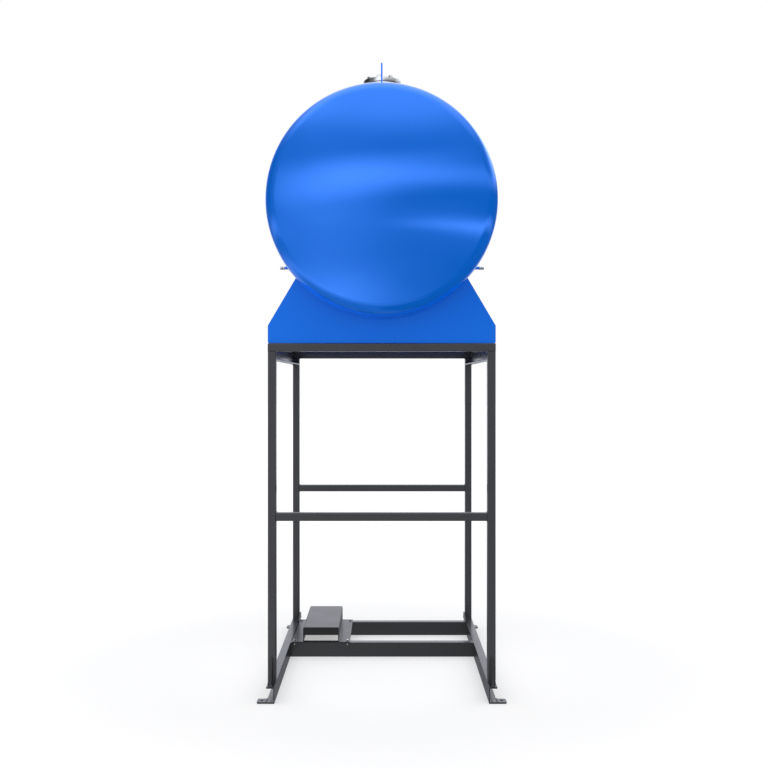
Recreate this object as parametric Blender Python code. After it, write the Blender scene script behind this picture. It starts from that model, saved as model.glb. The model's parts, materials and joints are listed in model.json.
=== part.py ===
"""Horizontal water tank on a tall steel stand, in metres, +Z up, front towards -Y.

The origin is on the floor under the middle of the stand. A welded tank with dished
ends lies along Y on two saddle plates. A frame of square tube and rolled channel
carries it, with a folded pump shelf low down between two floor beams.
"""
import math

import bmesh
import bpy
from mathutils import Matrix, Vector

# Clearance left between pieces that touch, and the smallest merge distance
GAP = 0.0003
WELD = 0.0001

# Stand, outside sizes
STAND_WIDTH = 1.110
STAND_LENGTH = 1.210
STAND_TOP = 1.732
TUBE = 0.040
TUBE_WALL = 0.003
CROSSBAR_TOP = 0.906

# Rolled channel
CHANNEL_HEIGHT = 0.080
CHANNEL_FLANGE = 0.040
CHANNEL_WEB_THICK = 0.0045
CHANNEL_FLANGE_THICK = 0.0074

# Floor rails, floor beams and what is welded to them
RAIL_LENGTH = 1.336
MIDDLE_BEAM_FRONT_Y = 0.054
REAR_BEAM_FRONT_Y = 0.474
FOOT_REACH = 0.045
FOOT_DEPTH = 0.050
FOOT_THICK = 0.008
FOOT_HOLE_DIAMETER = 0.014
GUSSET_HEIGHT = 0.122
GUSSET_THICK = 0.008
BRACE_HEIGHT = 0.029
BRACE_THICK = 0.008

# Pump shelf, a folded sheet bridging the two floor beams
SHELF_CENTRE_X = -0.3435
SHELF_WIDTH = 0.200
SHELF_FLANGE = 0.063
SHELF_TOP = 0.166
SHELF_FRONT_Y = 0.052
SHELF_REAR_Y = 0.520
SHELF_SHEET = 0.004
SHELF_LIP = 0.042

# Tank
TANK_RADIUS = 0.552
TANK_WALL = 0.004
TANK_AXIS_Z = 2.410
TANK_SEGMENTS = 72
RIM_Y = 0.710
HEAD_SKIRT = 0.020
HEAD_KNUCKLE = 0.080
HEAD_CROWN = 1.600
KNUCKLE_STEPS = 6
CROWN_STEPS = 6

# Saddles
SADDLE_FRONT_Y = -0.592
SADDLE_THICK = 0.008
SADDLE_HALF_WIDTH = 0.5565
SADDLE_CHAMFER = 0.005
SADDLE_SHOULDER_Z = 1.819
SADDLE_HORN_X = 0.4195
SADDLE_FOOT_DEPTH = 0.080
SADDLE_FOOT_THICK = 0.008
RIB_THICK = 0.008
RIB_DEPTH = 0.072
RIB_PLACES = (-0.500, -0.300, -0.100, 0.100, 0.300, 0.500)
OUTER_RIB_TOP = 1.886

# Lifting lugs
LUG_Y = 0.588
LUG_THICK = 0.008
LUG_HEIGHT = 0.140
LUG_WIDTH = 0.110
LUG_HEAD_RADIUS = 0.036
LUG_EYE_DIAMETER = 0.036
LUG_STEPS = 12

# Inlet neck with its flange and bolted cover
NECK_DIAMETER = 0.114
NECK_WALL = 0.004
FLANGE_DIAMETER = 0.212
FLANGE_THICK = 0.020
FLANGE_BOTTOM_Z = 3.162
GASKET_THICK = 0.002
COVER_DIAMETER = 0.212
COVER_THICK = 0.024
COVER_EDGE = 0.003
BOLT_CIRCLE = 0.170
BOLT_COUNT = 8
BOLT_FIRST_ANGLE = math.radians(11.0)
NUT_ACROSS_FLATS = 0.022
NUT_HEIGHT = 0.013
STUD_DIAMETER = 0.014
STUD_HEIGHT = 0.017
ROUND_STEPS = 40
SMALL_STEPS = 16

# Capped bosses on the sides and the drain below
BOSS_Z = 2.1785
BOSS_DIAMETER = 0.017
BOSS_TIP_X = 0.541
CAP_DIAMETER = 0.020
CAP_TIP_X = 0.566
DRAIN_DIAMETER = 0.060
DRAIN_BORE = 0.048
DRAIN_BOTTOM_Z = 1.800
PLUG_FLATS = 0.056
PLUG_HEAD = 0.014
PLUG_SHANK = 0.022

POST_X = STAND_WIDTH / 2 - TUBE / 2
POST_Y = STAND_LENGTH / 2 - TUBE / 2
INNER_X = STAND_WIDTH / 2 - TUBE
INNER_Y = STAND_LENGTH / 2 - TUBE
SEGMENT_ANGLE = 2 * math.pi / TANK_SEGMENTS


def clear_objects():
    """Removes what the open file holds."""
    for item in list(bpy.data.objects):
        bpy.data.objects.remove(item, do_unlink=True)


def paint(name, colour, roughness, metallic):
    """A plain Principled finish."""
    finish = bpy.data.materials.new(name)
    finish.use_nodes = True
    shader = finish.node_tree.nodes["Principled BSDF"]
    shader.inputs["Base Color"].default_value = (*colour, 1.0)
    shader.inputs["Roughness"].default_value = roughness
    shader.inputs["Metallic"].default_value = metallic
    return finish


def blue_paint(name):
    return paint(name, (0.016, 0.133, 0.70), 0.25, 0.0)


def dark_paint(name):
    return paint(name, (0.050, 0.052, 0.058), 0.3, 0.0)


def zinc(name):
    return paint(name, (0.56, 0.57, 0.60), 0.32, 1.0)


def rubber(name):
    return paint(name, (0.03, 0.03, 0.03), 0.8, 0.0)


def add_object(name, mesh, finish):
    """Puts a mesh in the scene under its own name with its own finish."""
    item = bpy.data.objects.new(name, mesh)
    bpy.context.scene.collection.objects.link(item)
    mesh.materials.append(finish)
    return item


def finish_mesh(name, shape):
    """Turns a bmesh into a mesh with its faces outwards."""
    bmesh.ops.remove_doubles(shape, verts=shape.verts, dist=WELD / 10)
    bmesh.ops.recalc_face_normals(shape, faces=shape.faces)
    mesh = bpy.data.meshes.new(name)
    shape.to_mesh(mesh)
    shape.free()
    return mesh


def extruded(name, outline, start, depth, hole=None):
    """A prism: an outline of points, pushed along a depth vector from a start vector.

    A hole is a second outline with as many points, which makes a tube.
    """
    shape = bmesh.new()
    start, depth = Vector(start), Vector(depth)

    def ring(points, shift):
        return [shape.verts.new(Vector(p) + start + shift) for p in points]

    near, far = ring(outline, Vector()), ring(outline, depth)
    count = len(outline)
    for i in range(count):
        j = (i + 1) % count
        shape.faces.new((near[i], near[j], far[j], far[i]))
    if hole is None:
        shape.faces.new(near)
        shape.faces.new(far)
    else:
        near_hole, far_hole = ring(hole, Vector()), ring(hole, depth)
        for i in range(count):
            j = (i + 1) % count
            shape.faces.new((near_hole[i], near_hole[j], far_hole[j], far_hole[i]))
            shape.faces.new((near[i], near[j], near_hole[j], near_hole[i]))
            shape.faces.new((far[i], far[j], far_hole[j], far_hole[i]))
    return finish_mesh(name, shape)


def box_mesh(name, low, high):
    """A box between two corners."""
    outline = [(low[0], low[1], 0), (high[0], low[1], 0), (high[0], high[1], 0), (low[0], high[1], 0)]
    return extruded(name, outline, (0, 0, low[2]), (0, 0, high[2] - low[2]))


def square_tube(name, centre, axis, length, finish):
    """A square tube with open ends, centred on a point, along X, Y or Z."""
    half, bore = TUBE / 2, TUBE / 2 - TUBE_WALL
    first, second = [Vector(v) for v in {
        "x": ((0, 1, 0), (0, 0, 1)), "y": ((1, 0, 0), (0, 0, 1)), "z": ((1, 0, 0), (0, 1, 0))}[axis]]
    along = first.cross(second) * length
    corners = ((-1, -1), (1, -1), (1, 1), (-1, 1))
    outer = [first * a * half + second * b * half for a, b in corners]
    inner = [first * a * bore + second * b * bore for a, b in corners]
    mesh = extruded(name, outer, Vector(centre) - along / 2, along, inner)
    return add_object(name, mesh, finish)


def channel(name, centre, open_way, along, length, finish):
    """A rolled channel 80 high with its flanges pointing the open way."""
    open_way, along = Vector(open_way), Vector(along)
    up = Vector((0, 0, 1))
    half = CHANNEL_HEIGHT / 2
    lip = half - CHANNEL_FLANGE_THICK
    back, face, tip = 0.0, CHANNEL_WEB_THICK, CHANNEL_FLANGE
    profile = [(back, -half), (tip, -half), (tip, -lip), (face, -lip),
               (face, lip), (tip, lip), (tip, half), (back, half)]
    outline = [open_way * (a - CHANNEL_FLANGE / 2) + up * b for a, b in profile]
    mesh = extruded(name, outline, Vector(centre) - along * length / 2, along * length)
    return add_object(name, mesh, finish)


def circle(radius, steps, first=0.0):
    """Points on a circle in X and Y."""
    return [(radius * math.cos(first + 2 * math.pi * i / steps),
             radius * math.sin(first + 2 * math.pi * i / steps), 0) for i in range(steps)]


def turned(name, profile, steps, placing):
    """Turns a profile of radius and height about Z, then places the shape.

    Profile points on the axis have radius 0, and the profile closes on itself.
    """
    shape = bmesh.new()
    rings = []
    for radius, height in profile:
        if radius == 0:
            rings.append([shape.verts.new((0, 0, height))])
        else:
            rings.append([shape.verts.new((x, y, height)) for x, y, _ in circle(radius, steps)])
    for low, high in zip(rings, rings[1:] + rings[:1]):
        for i in range(steps):
            j = (i + 1) % steps
            corners = []
            for corner in (low[i % len(low)], low[j % len(low)], high[j % len(high)], high[i % len(high)]):
                if corner not in corners:
                    corners.append(corner)
            if len(corners) > 2:
                shape.faces.new(corners)
    shape.transform(placing)
    return finish_mesh(name, shape)


def combine(item, other_mesh, operation):
    """Joins a second mesh to an object, or cuts it away, and leaves one plain mesh."""
    cutter = bpy.data.objects.new("cutter", other_mesh)
    bpy.context.scene.collection.objects.link(cutter)
    cutter.hide_render = True
    cutter.display_type = "WIRE"
    step = item.modifiers.new("combine", "BOOLEAN")
    step.operation = operation
    step.solver = "EXACT"
    step.object = cutter
    graph = bpy.context.evaluated_depsgraph_get()
    result = bpy.data.meshes.new_from_object(item.evaluated_get(graph))
    item.modifiers.clear()
    item.data = result
    bpy.data.objects.remove(cutter, do_unlink=True)


def smooth(item, angle=math.radians(30)):
    """Shades the round faces smooth and keeps the edges sharp."""
    item.data.shade_smooth()
    item.data.set_sharp_from_angle(angle=angle)


def tank_prism(name, radius, half_length):
    """A cylinder on the tank's axis whose flats lie over the shell's own flats."""
    steps = circle(radius, TANK_SEGMENTS)
    outline = [(x, 0, z + TANK_AXIS_Z) for x, z, _ in steps]
    return extruded(name, outline, (0, -half_length, 0), (0, 2 * half_length, 0))


def clearance_radius():
    """The shell's corner radius with the usual gap outside its flats."""
    return TANK_RADIUS + GAP / math.cos(SEGMENT_ANGLE / 2)


def build_shell():
    outer = [(x, 0, z + TANK_AXIS_Z) for x, z, _ in circle(TANK_RADIUS, TANK_SEGMENTS)]
    inner = [(x, 0, z + TANK_AXIS_Z) for x, z, _ in circle(TANK_RADIUS - TANK_WALL, TANK_SEGMENTS)]
    half = RIM_Y - HEAD_SKIRT
    mesh = extruded("tank_shell", outer, (0, -half, 0), (0, 2 * half, 0), inner)
    shell = add_object("tank_shell", mesh, blue_paint("shell_paint"))
    neck_bore = circle(NECK_DIAMETER / 2 - NECK_WALL, ROUND_STEPS)
    combine(shell, extruded("cut", neck_bore, (0, 0, TANK_AXIS_Z), (0, 0, TANK_RADIUS * 1.2)), "DIFFERENCE")
    drain_bore = circle(DRAIN_BORE / 2, ROUND_STEPS)
    combine(shell, extruded("cut", drain_bore, (0, 0, TANK_AXIS_Z), (0, 0, -TANK_RADIUS * 1.2)), "DIFFERENCE")
    smooth(shell)


def head_profile(radius, knuckle, crown):
    """Radius and height of a dished end, from its rim to its pole."""
    reach = crown - knuckle
    tilt = math.asin((radius - knuckle) / reach)
    pole = crown - reach * math.cos(tilt)
    points = []
    for i in range(KNUCKLE_STEPS + 1):
        turn = (math.pi / 2 - tilt) * i / KNUCKLE_STEPS
        points.append((radius - knuckle + knuckle * math.cos(turn), knuckle * math.sin(turn)))
    for i in range(1, CROWN_STEPS):
        turn = tilt * (1 - i / CROWN_STEPS)
        points.append((crown * math.sin(turn), pole - crown * (1 - math.cos(turn))))
    points.append((0, pole))
    return points


def build_head(name, side):
    """A dished end with a short straight skirt. Side is -1 at the front and 1 at the rear."""
    outside = head_profile(TANK_RADIUS, HEAD_KNUCKLE, HEAD_CROWN)
    inside = head_profile(TANK_RADIUS - TANK_WALL, HEAD_KNUCKLE - TANK_WALL, HEAD_CROWN - TANK_WALL)
    foot = GAP - HEAD_SKIRT
    profile = [(TANK_RADIUS, foot), *outside, *reversed(inside), (TANK_RADIUS - TANK_WALL, foot)]
    placing = (Matrix.Translation((0, side * RIM_Y, TANK_AXIS_Z))
               @ Matrix.Rotation(-side * math.pi / 2, 4, "X"))
    head = add_object(name, turned(name, profile, TANK_SEGMENTS, placing), blue_paint(name + "_paint"))
    smooth(head)


def saddle_outline():
    """The saddle plate seen from the front, with the shell's arc in its top edge."""
    low = STAND_TOP + GAP
    half, cut = SADDLE_HALF_WIDTH, SADDLE_CHAMFER
    horn_z = TANK_AXIS_Z - math.sqrt(clearance_radius() ** 2 - SADDLE_HORN_X ** 2)
    right = [(half - cut, 0, low), (half, 0, low + cut), (half, 0, SADDLE_SHOULDER_Z),
             (SADDLE_HORN_X, 0, horn_z)]
    lean = math.asin(SADDLE_HORN_X / TANK_RADIUS)
    steps = int(lean / SEGMENT_ANGLE)
    arc = []
    for i in range(-steps, steps + 1):
        turn = i * SEGMENT_ANGLE
        arc.append((-clearance_radius() * math.sin(turn), 0,
                    TANK_AXIS_Z - clearance_radius() * math.cos(turn)))
    left = [(-x, 0, z) for x, _, z in reversed(right)]
    return right + arc + left


def build_saddle(place, side):
    """A saddle plate, and behind it a foot strip with ribs, as two pieces."""
    name = "saddle_" + place
    near = SADDLE_FRONT_Y * -side
    inward = Vector((0, -side, 0))
    plate = extruded(name, saddle_outline(), (0, near, 0), inward * SADDLE_THICK)
    add_object(name, plate, blue_paint(name + "_paint"))

    name = "saddle_ribs_" + place
    start = near - side * (SADDLE_THICK + GAP)
    low = STAND_TOP + GAP
    top = low + SADDLE_FOOT_THICK
    half = SADDLE_HALF_WIDTH - SADDLE_CHAMFER
    strip_end = start - side * SADDLE_FOOT_DEPTH
    strip = box_mesh(name, (-half, min(start, strip_end), low), (half, max(start, strip_end), top))
    ribs = add_object(name, strip, blue_paint(name + "_paint"))
    rib_end = start - side * RIB_DEPTH
    for place_x in RIB_PLACES:
        outer = place_x in (RIB_PLACES[0], RIB_PLACES[-1])
        rib_top = OUTER_RIB_TOP if outer else TANK_AXIS_Z - TANK_RADIUS / 2
        rib = box_mesh("rib", (place_x - RIB_THICK / 2, min(start, rib_end), low + SADDLE_FOOT_THICK / 2),
                       (place_x + RIB_THICK / 2, max(start, rib_end), rib_top))
        combine(ribs, rib, "UNION")
    combine(ribs, tank_prism("cut", clearance_radius(), RIM_Y), "DIFFERENCE")


def lug_outline():
    """The lug seen from the side: a tapered plate with a round head."""
    base = TANK_AXIS_Z + TANK_RADIUS + GAP
    head_z = base + LUG_HEIGHT - LUG_HEAD_RADIUS
    half = LUG_WIDTH / 2
    reach = math.hypot(half, head_z - base)
    lean = math.atan2(head_z - base, half) - math.asin(LUG_HEAD_RADIUS / reach)
    first = math.pi / 2 - lean
    points = [(0, -half, base), (0, half, base)]
    for i in range(LUG_STEPS + 1):
        turn = first - (2 * first) * i / LUG_STEPS
        points.append((0, LUG_HEAD_RADIUS * math.sin(turn), head_z + LUG_HEAD_RADIUS * math.cos(turn)))
    return points, head_z


def build_lug(name, centre_y):
    outline, head_z = lug_outline()
    mesh = extruded(name, outline, (-LUG_THICK / 2, centre_y, 0), (LUG_THICK, 0, 0))
    lug = add_object(name, mesh, blue_paint(name + "_paint"))
    eye = [(0, centre_y + x, head_z + z) for x, z, _ in circle(LUG_EYE_DIAMETER / 2, SMALL_STEPS)]
    combine(lug, extruded("cut", eye, (-LUG_THICK, 0, 0), (2 * LUG_THICK, 0, 0)), "DIFFERENCE")


def bolt_places():
    """Centres of the cover's bolts, counted from +X towards the front."""
    places = []
    for i in range(BOLT_COUNT):
        turn = BOLT_FIRST_ANGLE + 2 * math.pi * i / BOLT_COUNT
        places.append((BOLT_CIRCLE / 2 * math.cos(turn), -BOLT_CIRCLE / 2 * math.sin(turn)))
    return places


def build_inlet():
    """The neck, its flange, the gasket and the bolted cover on top of the tank."""
    bore = circle(NECK_DIAMETER / 2 - NECK_WALL, ROUND_STEPS)
    wall = circle(NECK_DIAMETER / 2, ROUND_STEPS)
    start = TANK_AXIS_Z + TANK_RADIUS * 0.9
    end = FLANGE_BOTTOM_Z - GAP
    neck = add_object("inlet_neck", extruded("inlet_neck", wall, (0, 0, start), (0, 0, end - start), bore),
                      blue_paint("neck_paint"))
    combine(neck, tank_prism("cut", clearance_radius(), RIM_Y), "DIFFERENCE")
    smooth(neck)

    rim = circle(FLANGE_DIAMETER / 2, ROUND_STEPS)
    flange = add_object("inlet_flange", extruded("inlet_flange", rim, (0, 0, FLANGE_BOTTOM_Z),
                                                 (0, 0, FLANGE_THICK), bore), zinc("flange_zinc"))
    smooth(flange)

    low = FLANGE_BOTTOM_Z + FLANGE_THICK + GAP
    edge = circle(COVER_DIAMETER / 2 - COVER_EDGE, ROUND_STEPS)
    gasket = add_object("inlet_gasket", extruded("inlet_gasket", edge, (0, 0, low),
                                                 (0, 0, GASKET_THICK), bore), rubber("gasket_rubber"))
    smooth(gasket)

    low += GASKET_THICK + GAP
    top = low + COVER_THICK
    radius = COVER_DIAMETER / 2
    profile = [(0, low), (radius, low), (radius, top - COVER_EDGE), (radius - COVER_EDGE, top), (0, top)]
    cover = add_object("inlet_cover", turned("inlet_cover", profile, ROUND_STEPS, Matrix()), zinc("cover_zinc"))
    corner = NUT_ACROSS_FLATS / 2 / math.cos(math.pi / 6)
    sunk = COVER_THICK / 4
    for x, y in bolt_places():
        nut = extruded("nut", circle(corner, 6), (x, y, top - sunk), (0, 0, NUT_HEIGHT + sunk))
        combine(cover, nut, "UNION")
        stud = extruded("stud", circle(STUD_DIAMETER / 2, 8), (x, y, top), (0, 0, STUD_HEIGHT))
        combine(cover, stud, "UNION")


def build_boss(place, side):
    """A small boss on the tank's side and the zinc cap on its end."""
    def bar(name, radius, start, end):
        outline = [(0, x, z + BOSS_Z) for x, z, _ in circle(radius, SMALL_STEPS)]
        return extruded(name, outline, (start * side, 0, 0), ((end - start) * side, 0, 0))

    name = "side_boss_" + place
    boss = add_object(name, bar(name, BOSS_DIAMETER / 2, TANK_RADIUS * 0.8, BOSS_TIP_X),
                      blue_paint(name + "_paint"))
    combine(boss, tank_prism("cut", clearance_radius(), RIM_Y), "DIFFERENCE")
    smooth(boss)
    name = "side_cap_" + place
    cap = add_object(name, bar(name, CAP_DIAMETER / 2, BOSS_TIP_X + GAP, CAP_TIP_X), zinc(name + "_zinc"))
    smooth(cap)


def build_drain():
    """A socket under the middle of the tank with a plug screwed into it."""
    wall = circle(DRAIN_DIAMETER / 2, ROUND_STEPS)
    bore = circle(DRAIN_BORE / 2, ROUND_STEPS)
    end = TANK_AXIS_Z - TANK_RADIUS * 0.9
    socket = add_object("drain_socket", extruded("drain_socket", wall, (0, 0, DRAIN_BOTTOM_Z),
                                                 (0, 0, end - DRAIN_BOTTOM_Z), bore),
                        blue_paint("drain_paint"))
    combine(socket, tank_prism("cut", clearance_radius(), RIM_Y), "DIFFERENCE")
    smooth(socket)
    top = DRAIN_BOTTOM_Z - GAP
    head = extruded("drain_plug", circle(PLUG_FLATS / 2 / math.cos(math.pi / 6), 6),
                    (0, 0, top - PLUG_HEAD), (0, 0, PLUG_HEAD))
    plug = add_object("drain_plug", head, zinc("plug_zinc"))
    shank = extruded("shank", circle(DRAIN_BORE / 2 - GAP, ROUND_STEPS),
                     (0, 0, top - PLUG_HEAD / 2), (0, 0, PLUG_SHANK + PLUG_HEAD / 2))
    combine(plug, shank, "UNION")


def build_frame():
    """Posts, crossbars, the top frame and the floor rails and beams."""
    low = CHANNEL_HEIGHT + GAP
    high = STAND_TOP - TUBE - GAP
    for place_y, side_y in (("front", -1), ("rear", 1)):
        for place_x, side_x in (("left", -1), ("right", 1)):
            name = "post_%s_%s" % (place_y, place_x)
            square_tube(name, (side_x * POST_X, side_y * POST_Y, (low + high) / 2), "z",
                        high - low, dark_paint(name + "_paint"))
        name = "top_beam_" + place_y
        square_tube(name, (0, side_y * POST_Y, STAND_TOP - TUBE / 2), "x", STAND_WIDTH,
                    dark_paint(name + "_paint"))
        name = "crossbar_" + place_y
        square_tube(name, (0, side_y * POST_Y, CROSSBAR_TOP - TUBE / 2), "x",
                    2 * (INNER_X - GAP), dark_paint(name + "_paint"))
    for place_x, side_x in (("left", -1), ("right", 1)):
        centre_x = side_x * (STAND_WIDTH - CHANNEL_FLANGE) / 2
        name = "top_channel_" + place_x
        channel(name, (centre_x, 0, STAND_TOP - CHANNEL_HEIGHT / 2), (-side_x, 0, 0), (0, 1, 0),
                2 * (INNER_Y - GAP), dark_paint(name + "_paint"))
        name = "base_rail_" + place_x
        channel(name, (centre_x, 0, CHANNEL_HEIGHT / 2), (side_x, 0, 0), (0, 1, 0),
                RAIL_LENGTH, dark_paint(name + "_paint"))
    for name, front in (("base_beam_middle", MIDDLE_BEAM_FRONT_Y), ("base_beam_rear", REAR_BEAM_FRONT_Y)):
        channel(name, (0, front + CHANNEL_FLANGE / 2, CHANNEL_HEIGHT / 2), (0, 1, 0), (1, 0, 0),
                2 * (INNER_X - GAP), dark_paint(name + "_paint"))


def build_feet():
    """An anchor plate outside each end of each rail, with one hole."""
    for place_y, side_y in (("front", -1), ("rear", 1)):
        for place_x, side_x in (("left", -1), ("right", 1)):
            name = "anchor_foot_%s_%s" % (place_y, place_x)
            near = STAND_WIDTH / 2 + GAP
            far = STAND_WIDTH / 2 + FOOT_REACH
            end = RAIL_LENGTH / 2
            xs = sorted((side_x * near, side_x * far))
            ys = sorted((side_y * end, side_y * (end - FOOT_DEPTH)))
            foot = add_object(name, box_mesh(name, (xs[0], ys[0], 0), (xs[1], ys[1], FOOT_THICK)),
                              dark_paint(name + "_paint"))
            hole = circle(FOOT_HOLE_DIAMETER / 2, SMALL_STEPS)
            centre = (side_x * (near + far) / 2, side_y * (end - FOOT_DEPTH / 2), -FOOT_THICK)
            combine(foot, extruded("cut", hole, centre, (0, 0, 3 * FOOT_THICK)), "DIFFERENCE")


def build_gussets():
    """Triangular plates outside each post, and plates inside the rear posts."""
    low = CHANNEL_HEIGHT + GAP
    start = STAND_LENGTH / 2 + GAP
    end = RAIL_LENGTH / 2
    toe = GUSSET_THICK
    for place_y, side_y in (("front", -1), ("rear", 1)):
        outline = [(0, side_y * start, low), (0, side_y * end, low), (0, side_y * end, low + toe),
                   (0, side_y * (start + toe), low + GUSSET_HEIGHT), (0, side_y * start, low + GUSSET_HEIGHT)]
        for place_x, side_x in (("left", -1), ("right", 1)):
            name = "post_gusset_%s_%s" % (place_y, place_x)
            mesh = extruded(name, outline, (side_x * POST_X - GUSSET_THICK / 2, 0, 0), (GUSSET_THICK, 0, 0))
            add_object(name, mesh, dark_paint(name + "_paint"))
    front, rear = REAR_BEAM_FRONT_Y, STAND_LENGTH / 2
    outline = [(0, front, low), (0, rear, low), (0, rear, low + BRACE_HEIGHT),
               (0, INNER_Y, low + BRACE_HEIGHT), (0, front, low + toe)]
    for place_x, side_x in (("left", -1), ("right", 1)):
        name = "post_brace_" + place_x
        near = side_x * (INNER_X - GAP)
        mesh = extruded(name, outline, (near, 0, 0), (-side_x * BRACE_THICK, 0, 0))
        add_object(name, mesh, dark_paint(name + "_paint"))


def build_shelf():
    """The folded pump shelf: a top, two walls, two flanges and a lip at each end."""
    low = CHANNEL_HEIGHT + GAP
    half = SHELF_WIDTH / 2
    sheet = SHELF_SHEET
    wing = half + SHELF_FLANGE
    right = [(wing, low), (wing, low + sheet), (half, low + sheet), (half, SHELF_TOP)]
    inner = [(half - sheet, SHELF_TOP - sheet), (half - sheet, low)]
    outline = ([(x, 0, z) for x, z in right] + [(-x, 0, z) for x, z in reversed(right)]
               + [(-x, 0, z) for x, z in reversed(inner)] + [(x, 0, z) for x, z in inner])
    length = SHELF_REAR_Y - SHELF_FRONT_Y
    mesh = extruded("pump_shelf", outline, (SHELF_CENTRE_X, SHELF_FRONT_Y, 0), (0, length, 0))
    shelf = add_object("pump_shelf", mesh, dark_paint("shelf_paint"))
    for start in (SHELF_FRONT_Y, SHELF_REAR_Y - sheet):
        lip = box_mesh("lip", (SHELF_CENTRE_X - half + sheet / 2, start, SHELF_TOP - SHELF_LIP),
                       (SHELF_CENTRE_X + half - sheet / 2, start + sheet, SHELF_TOP - sheet / 2))
        combine(shelf, lip, "UNION")


def main():
    clear_objects()
    build_frame()
    build_feet()
    build_gussets()
    build_shelf()
    build_shell()
    build_head("tank_head_front", -1)
    build_head("tank_head_rear", 1)
    build_saddle("front", -1)
    build_saddle("rear", 1)
    build_lug("lifting_lug_front", -LUG_Y)
    build_lug("lifting_lug_rear", LUG_Y)
    build_inlet()
    build_boss("left", -1)
    build_boss("right", 1)
    build_drain()


main()
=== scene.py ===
"""Looks of a blue horizontal water tank on a tall dark grey steel stand.

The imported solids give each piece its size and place. Every piece is modelled here with its
rolled corners, bends, welds and fasteners, and takes a procedural finish. Lengths are in
metres, +Z is up and the front looks towards -Y.
"""
from __future__ import annotations

import json
import logging
import math
from collections.abc import Mapping, Sequence
from dataclasses import dataclass, field, replace
from enum import Enum

import bmesh
import bpy
from mathutils import Matrix, Vector

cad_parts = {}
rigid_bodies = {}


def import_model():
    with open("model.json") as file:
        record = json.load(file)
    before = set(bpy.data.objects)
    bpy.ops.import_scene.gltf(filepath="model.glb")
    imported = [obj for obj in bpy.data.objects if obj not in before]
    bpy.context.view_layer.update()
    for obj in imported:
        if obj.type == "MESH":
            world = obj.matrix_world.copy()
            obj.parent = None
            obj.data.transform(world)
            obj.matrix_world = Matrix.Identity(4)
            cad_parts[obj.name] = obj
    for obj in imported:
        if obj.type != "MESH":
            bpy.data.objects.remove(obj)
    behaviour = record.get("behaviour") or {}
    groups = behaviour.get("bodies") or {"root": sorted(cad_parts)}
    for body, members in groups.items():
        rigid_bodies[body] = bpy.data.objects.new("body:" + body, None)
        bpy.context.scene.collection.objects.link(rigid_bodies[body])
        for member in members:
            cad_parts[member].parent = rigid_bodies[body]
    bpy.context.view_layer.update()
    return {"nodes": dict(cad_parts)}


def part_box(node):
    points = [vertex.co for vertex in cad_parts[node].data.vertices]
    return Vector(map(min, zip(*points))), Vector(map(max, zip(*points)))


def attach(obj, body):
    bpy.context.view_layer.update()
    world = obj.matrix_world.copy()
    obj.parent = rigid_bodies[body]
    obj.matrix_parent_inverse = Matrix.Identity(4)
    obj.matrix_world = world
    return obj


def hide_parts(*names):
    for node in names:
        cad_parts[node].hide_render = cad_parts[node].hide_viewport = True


LOG = logging.getLogger("water_tank")
BODY = "root"

MERGE_DISTANCE = 0.00001
SHARP_EDGE = math.radians(30)
SHADED_SHARP = math.radians(50)
CORNER_STEPS = 5
FULL_TURN = 2 * math.pi
RIGHT_ANGLE = math.pi / 2
BEAD_SIDES = 8
BEAD_DIP = 0.86
BEAD_PITCH = 0.0022
WHITE = (1.0, 1.0, 1.0, 1.0)

Colour = tuple[float, float, float]


class Slot(Enum):
    """The record's material slots."""

    BLUE = "blue_paint"
    DARK = "dark_paint"
    ZINC = "zinc"
    GASKET = "gasket"


class Axis(Enum):
    """The frame's axes, by their place in a vector."""

    X = 0
    Y = 1
    Z = 2

    @property
    def unit(self) -> Vector:
        """A vector of length 1 along the axis."""
        return Vector([float(place == self.value) for place in range(3)])


class End(Enum):
    """The front and rear of the object, as signs along Y."""

    FRONT = -1
    REAR = 1

    @property
    def word(self) -> str:
        """The word that node names use for this end."""
        return self.name.lower()


class Flank(Enum):
    """The left and right of the object, as signs along X."""

    LEFT = -1
    RIGHT = 1

    @property
    def word(self) -> str:
        """The word that node names use for this flank."""
        return self.name.lower()


class Combining(Enum):
    """What a second solid does to the first."""

    CUT = "DIFFERENCE"
    ADD = "UNION"
    KEEP = "INTERSECT"


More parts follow.
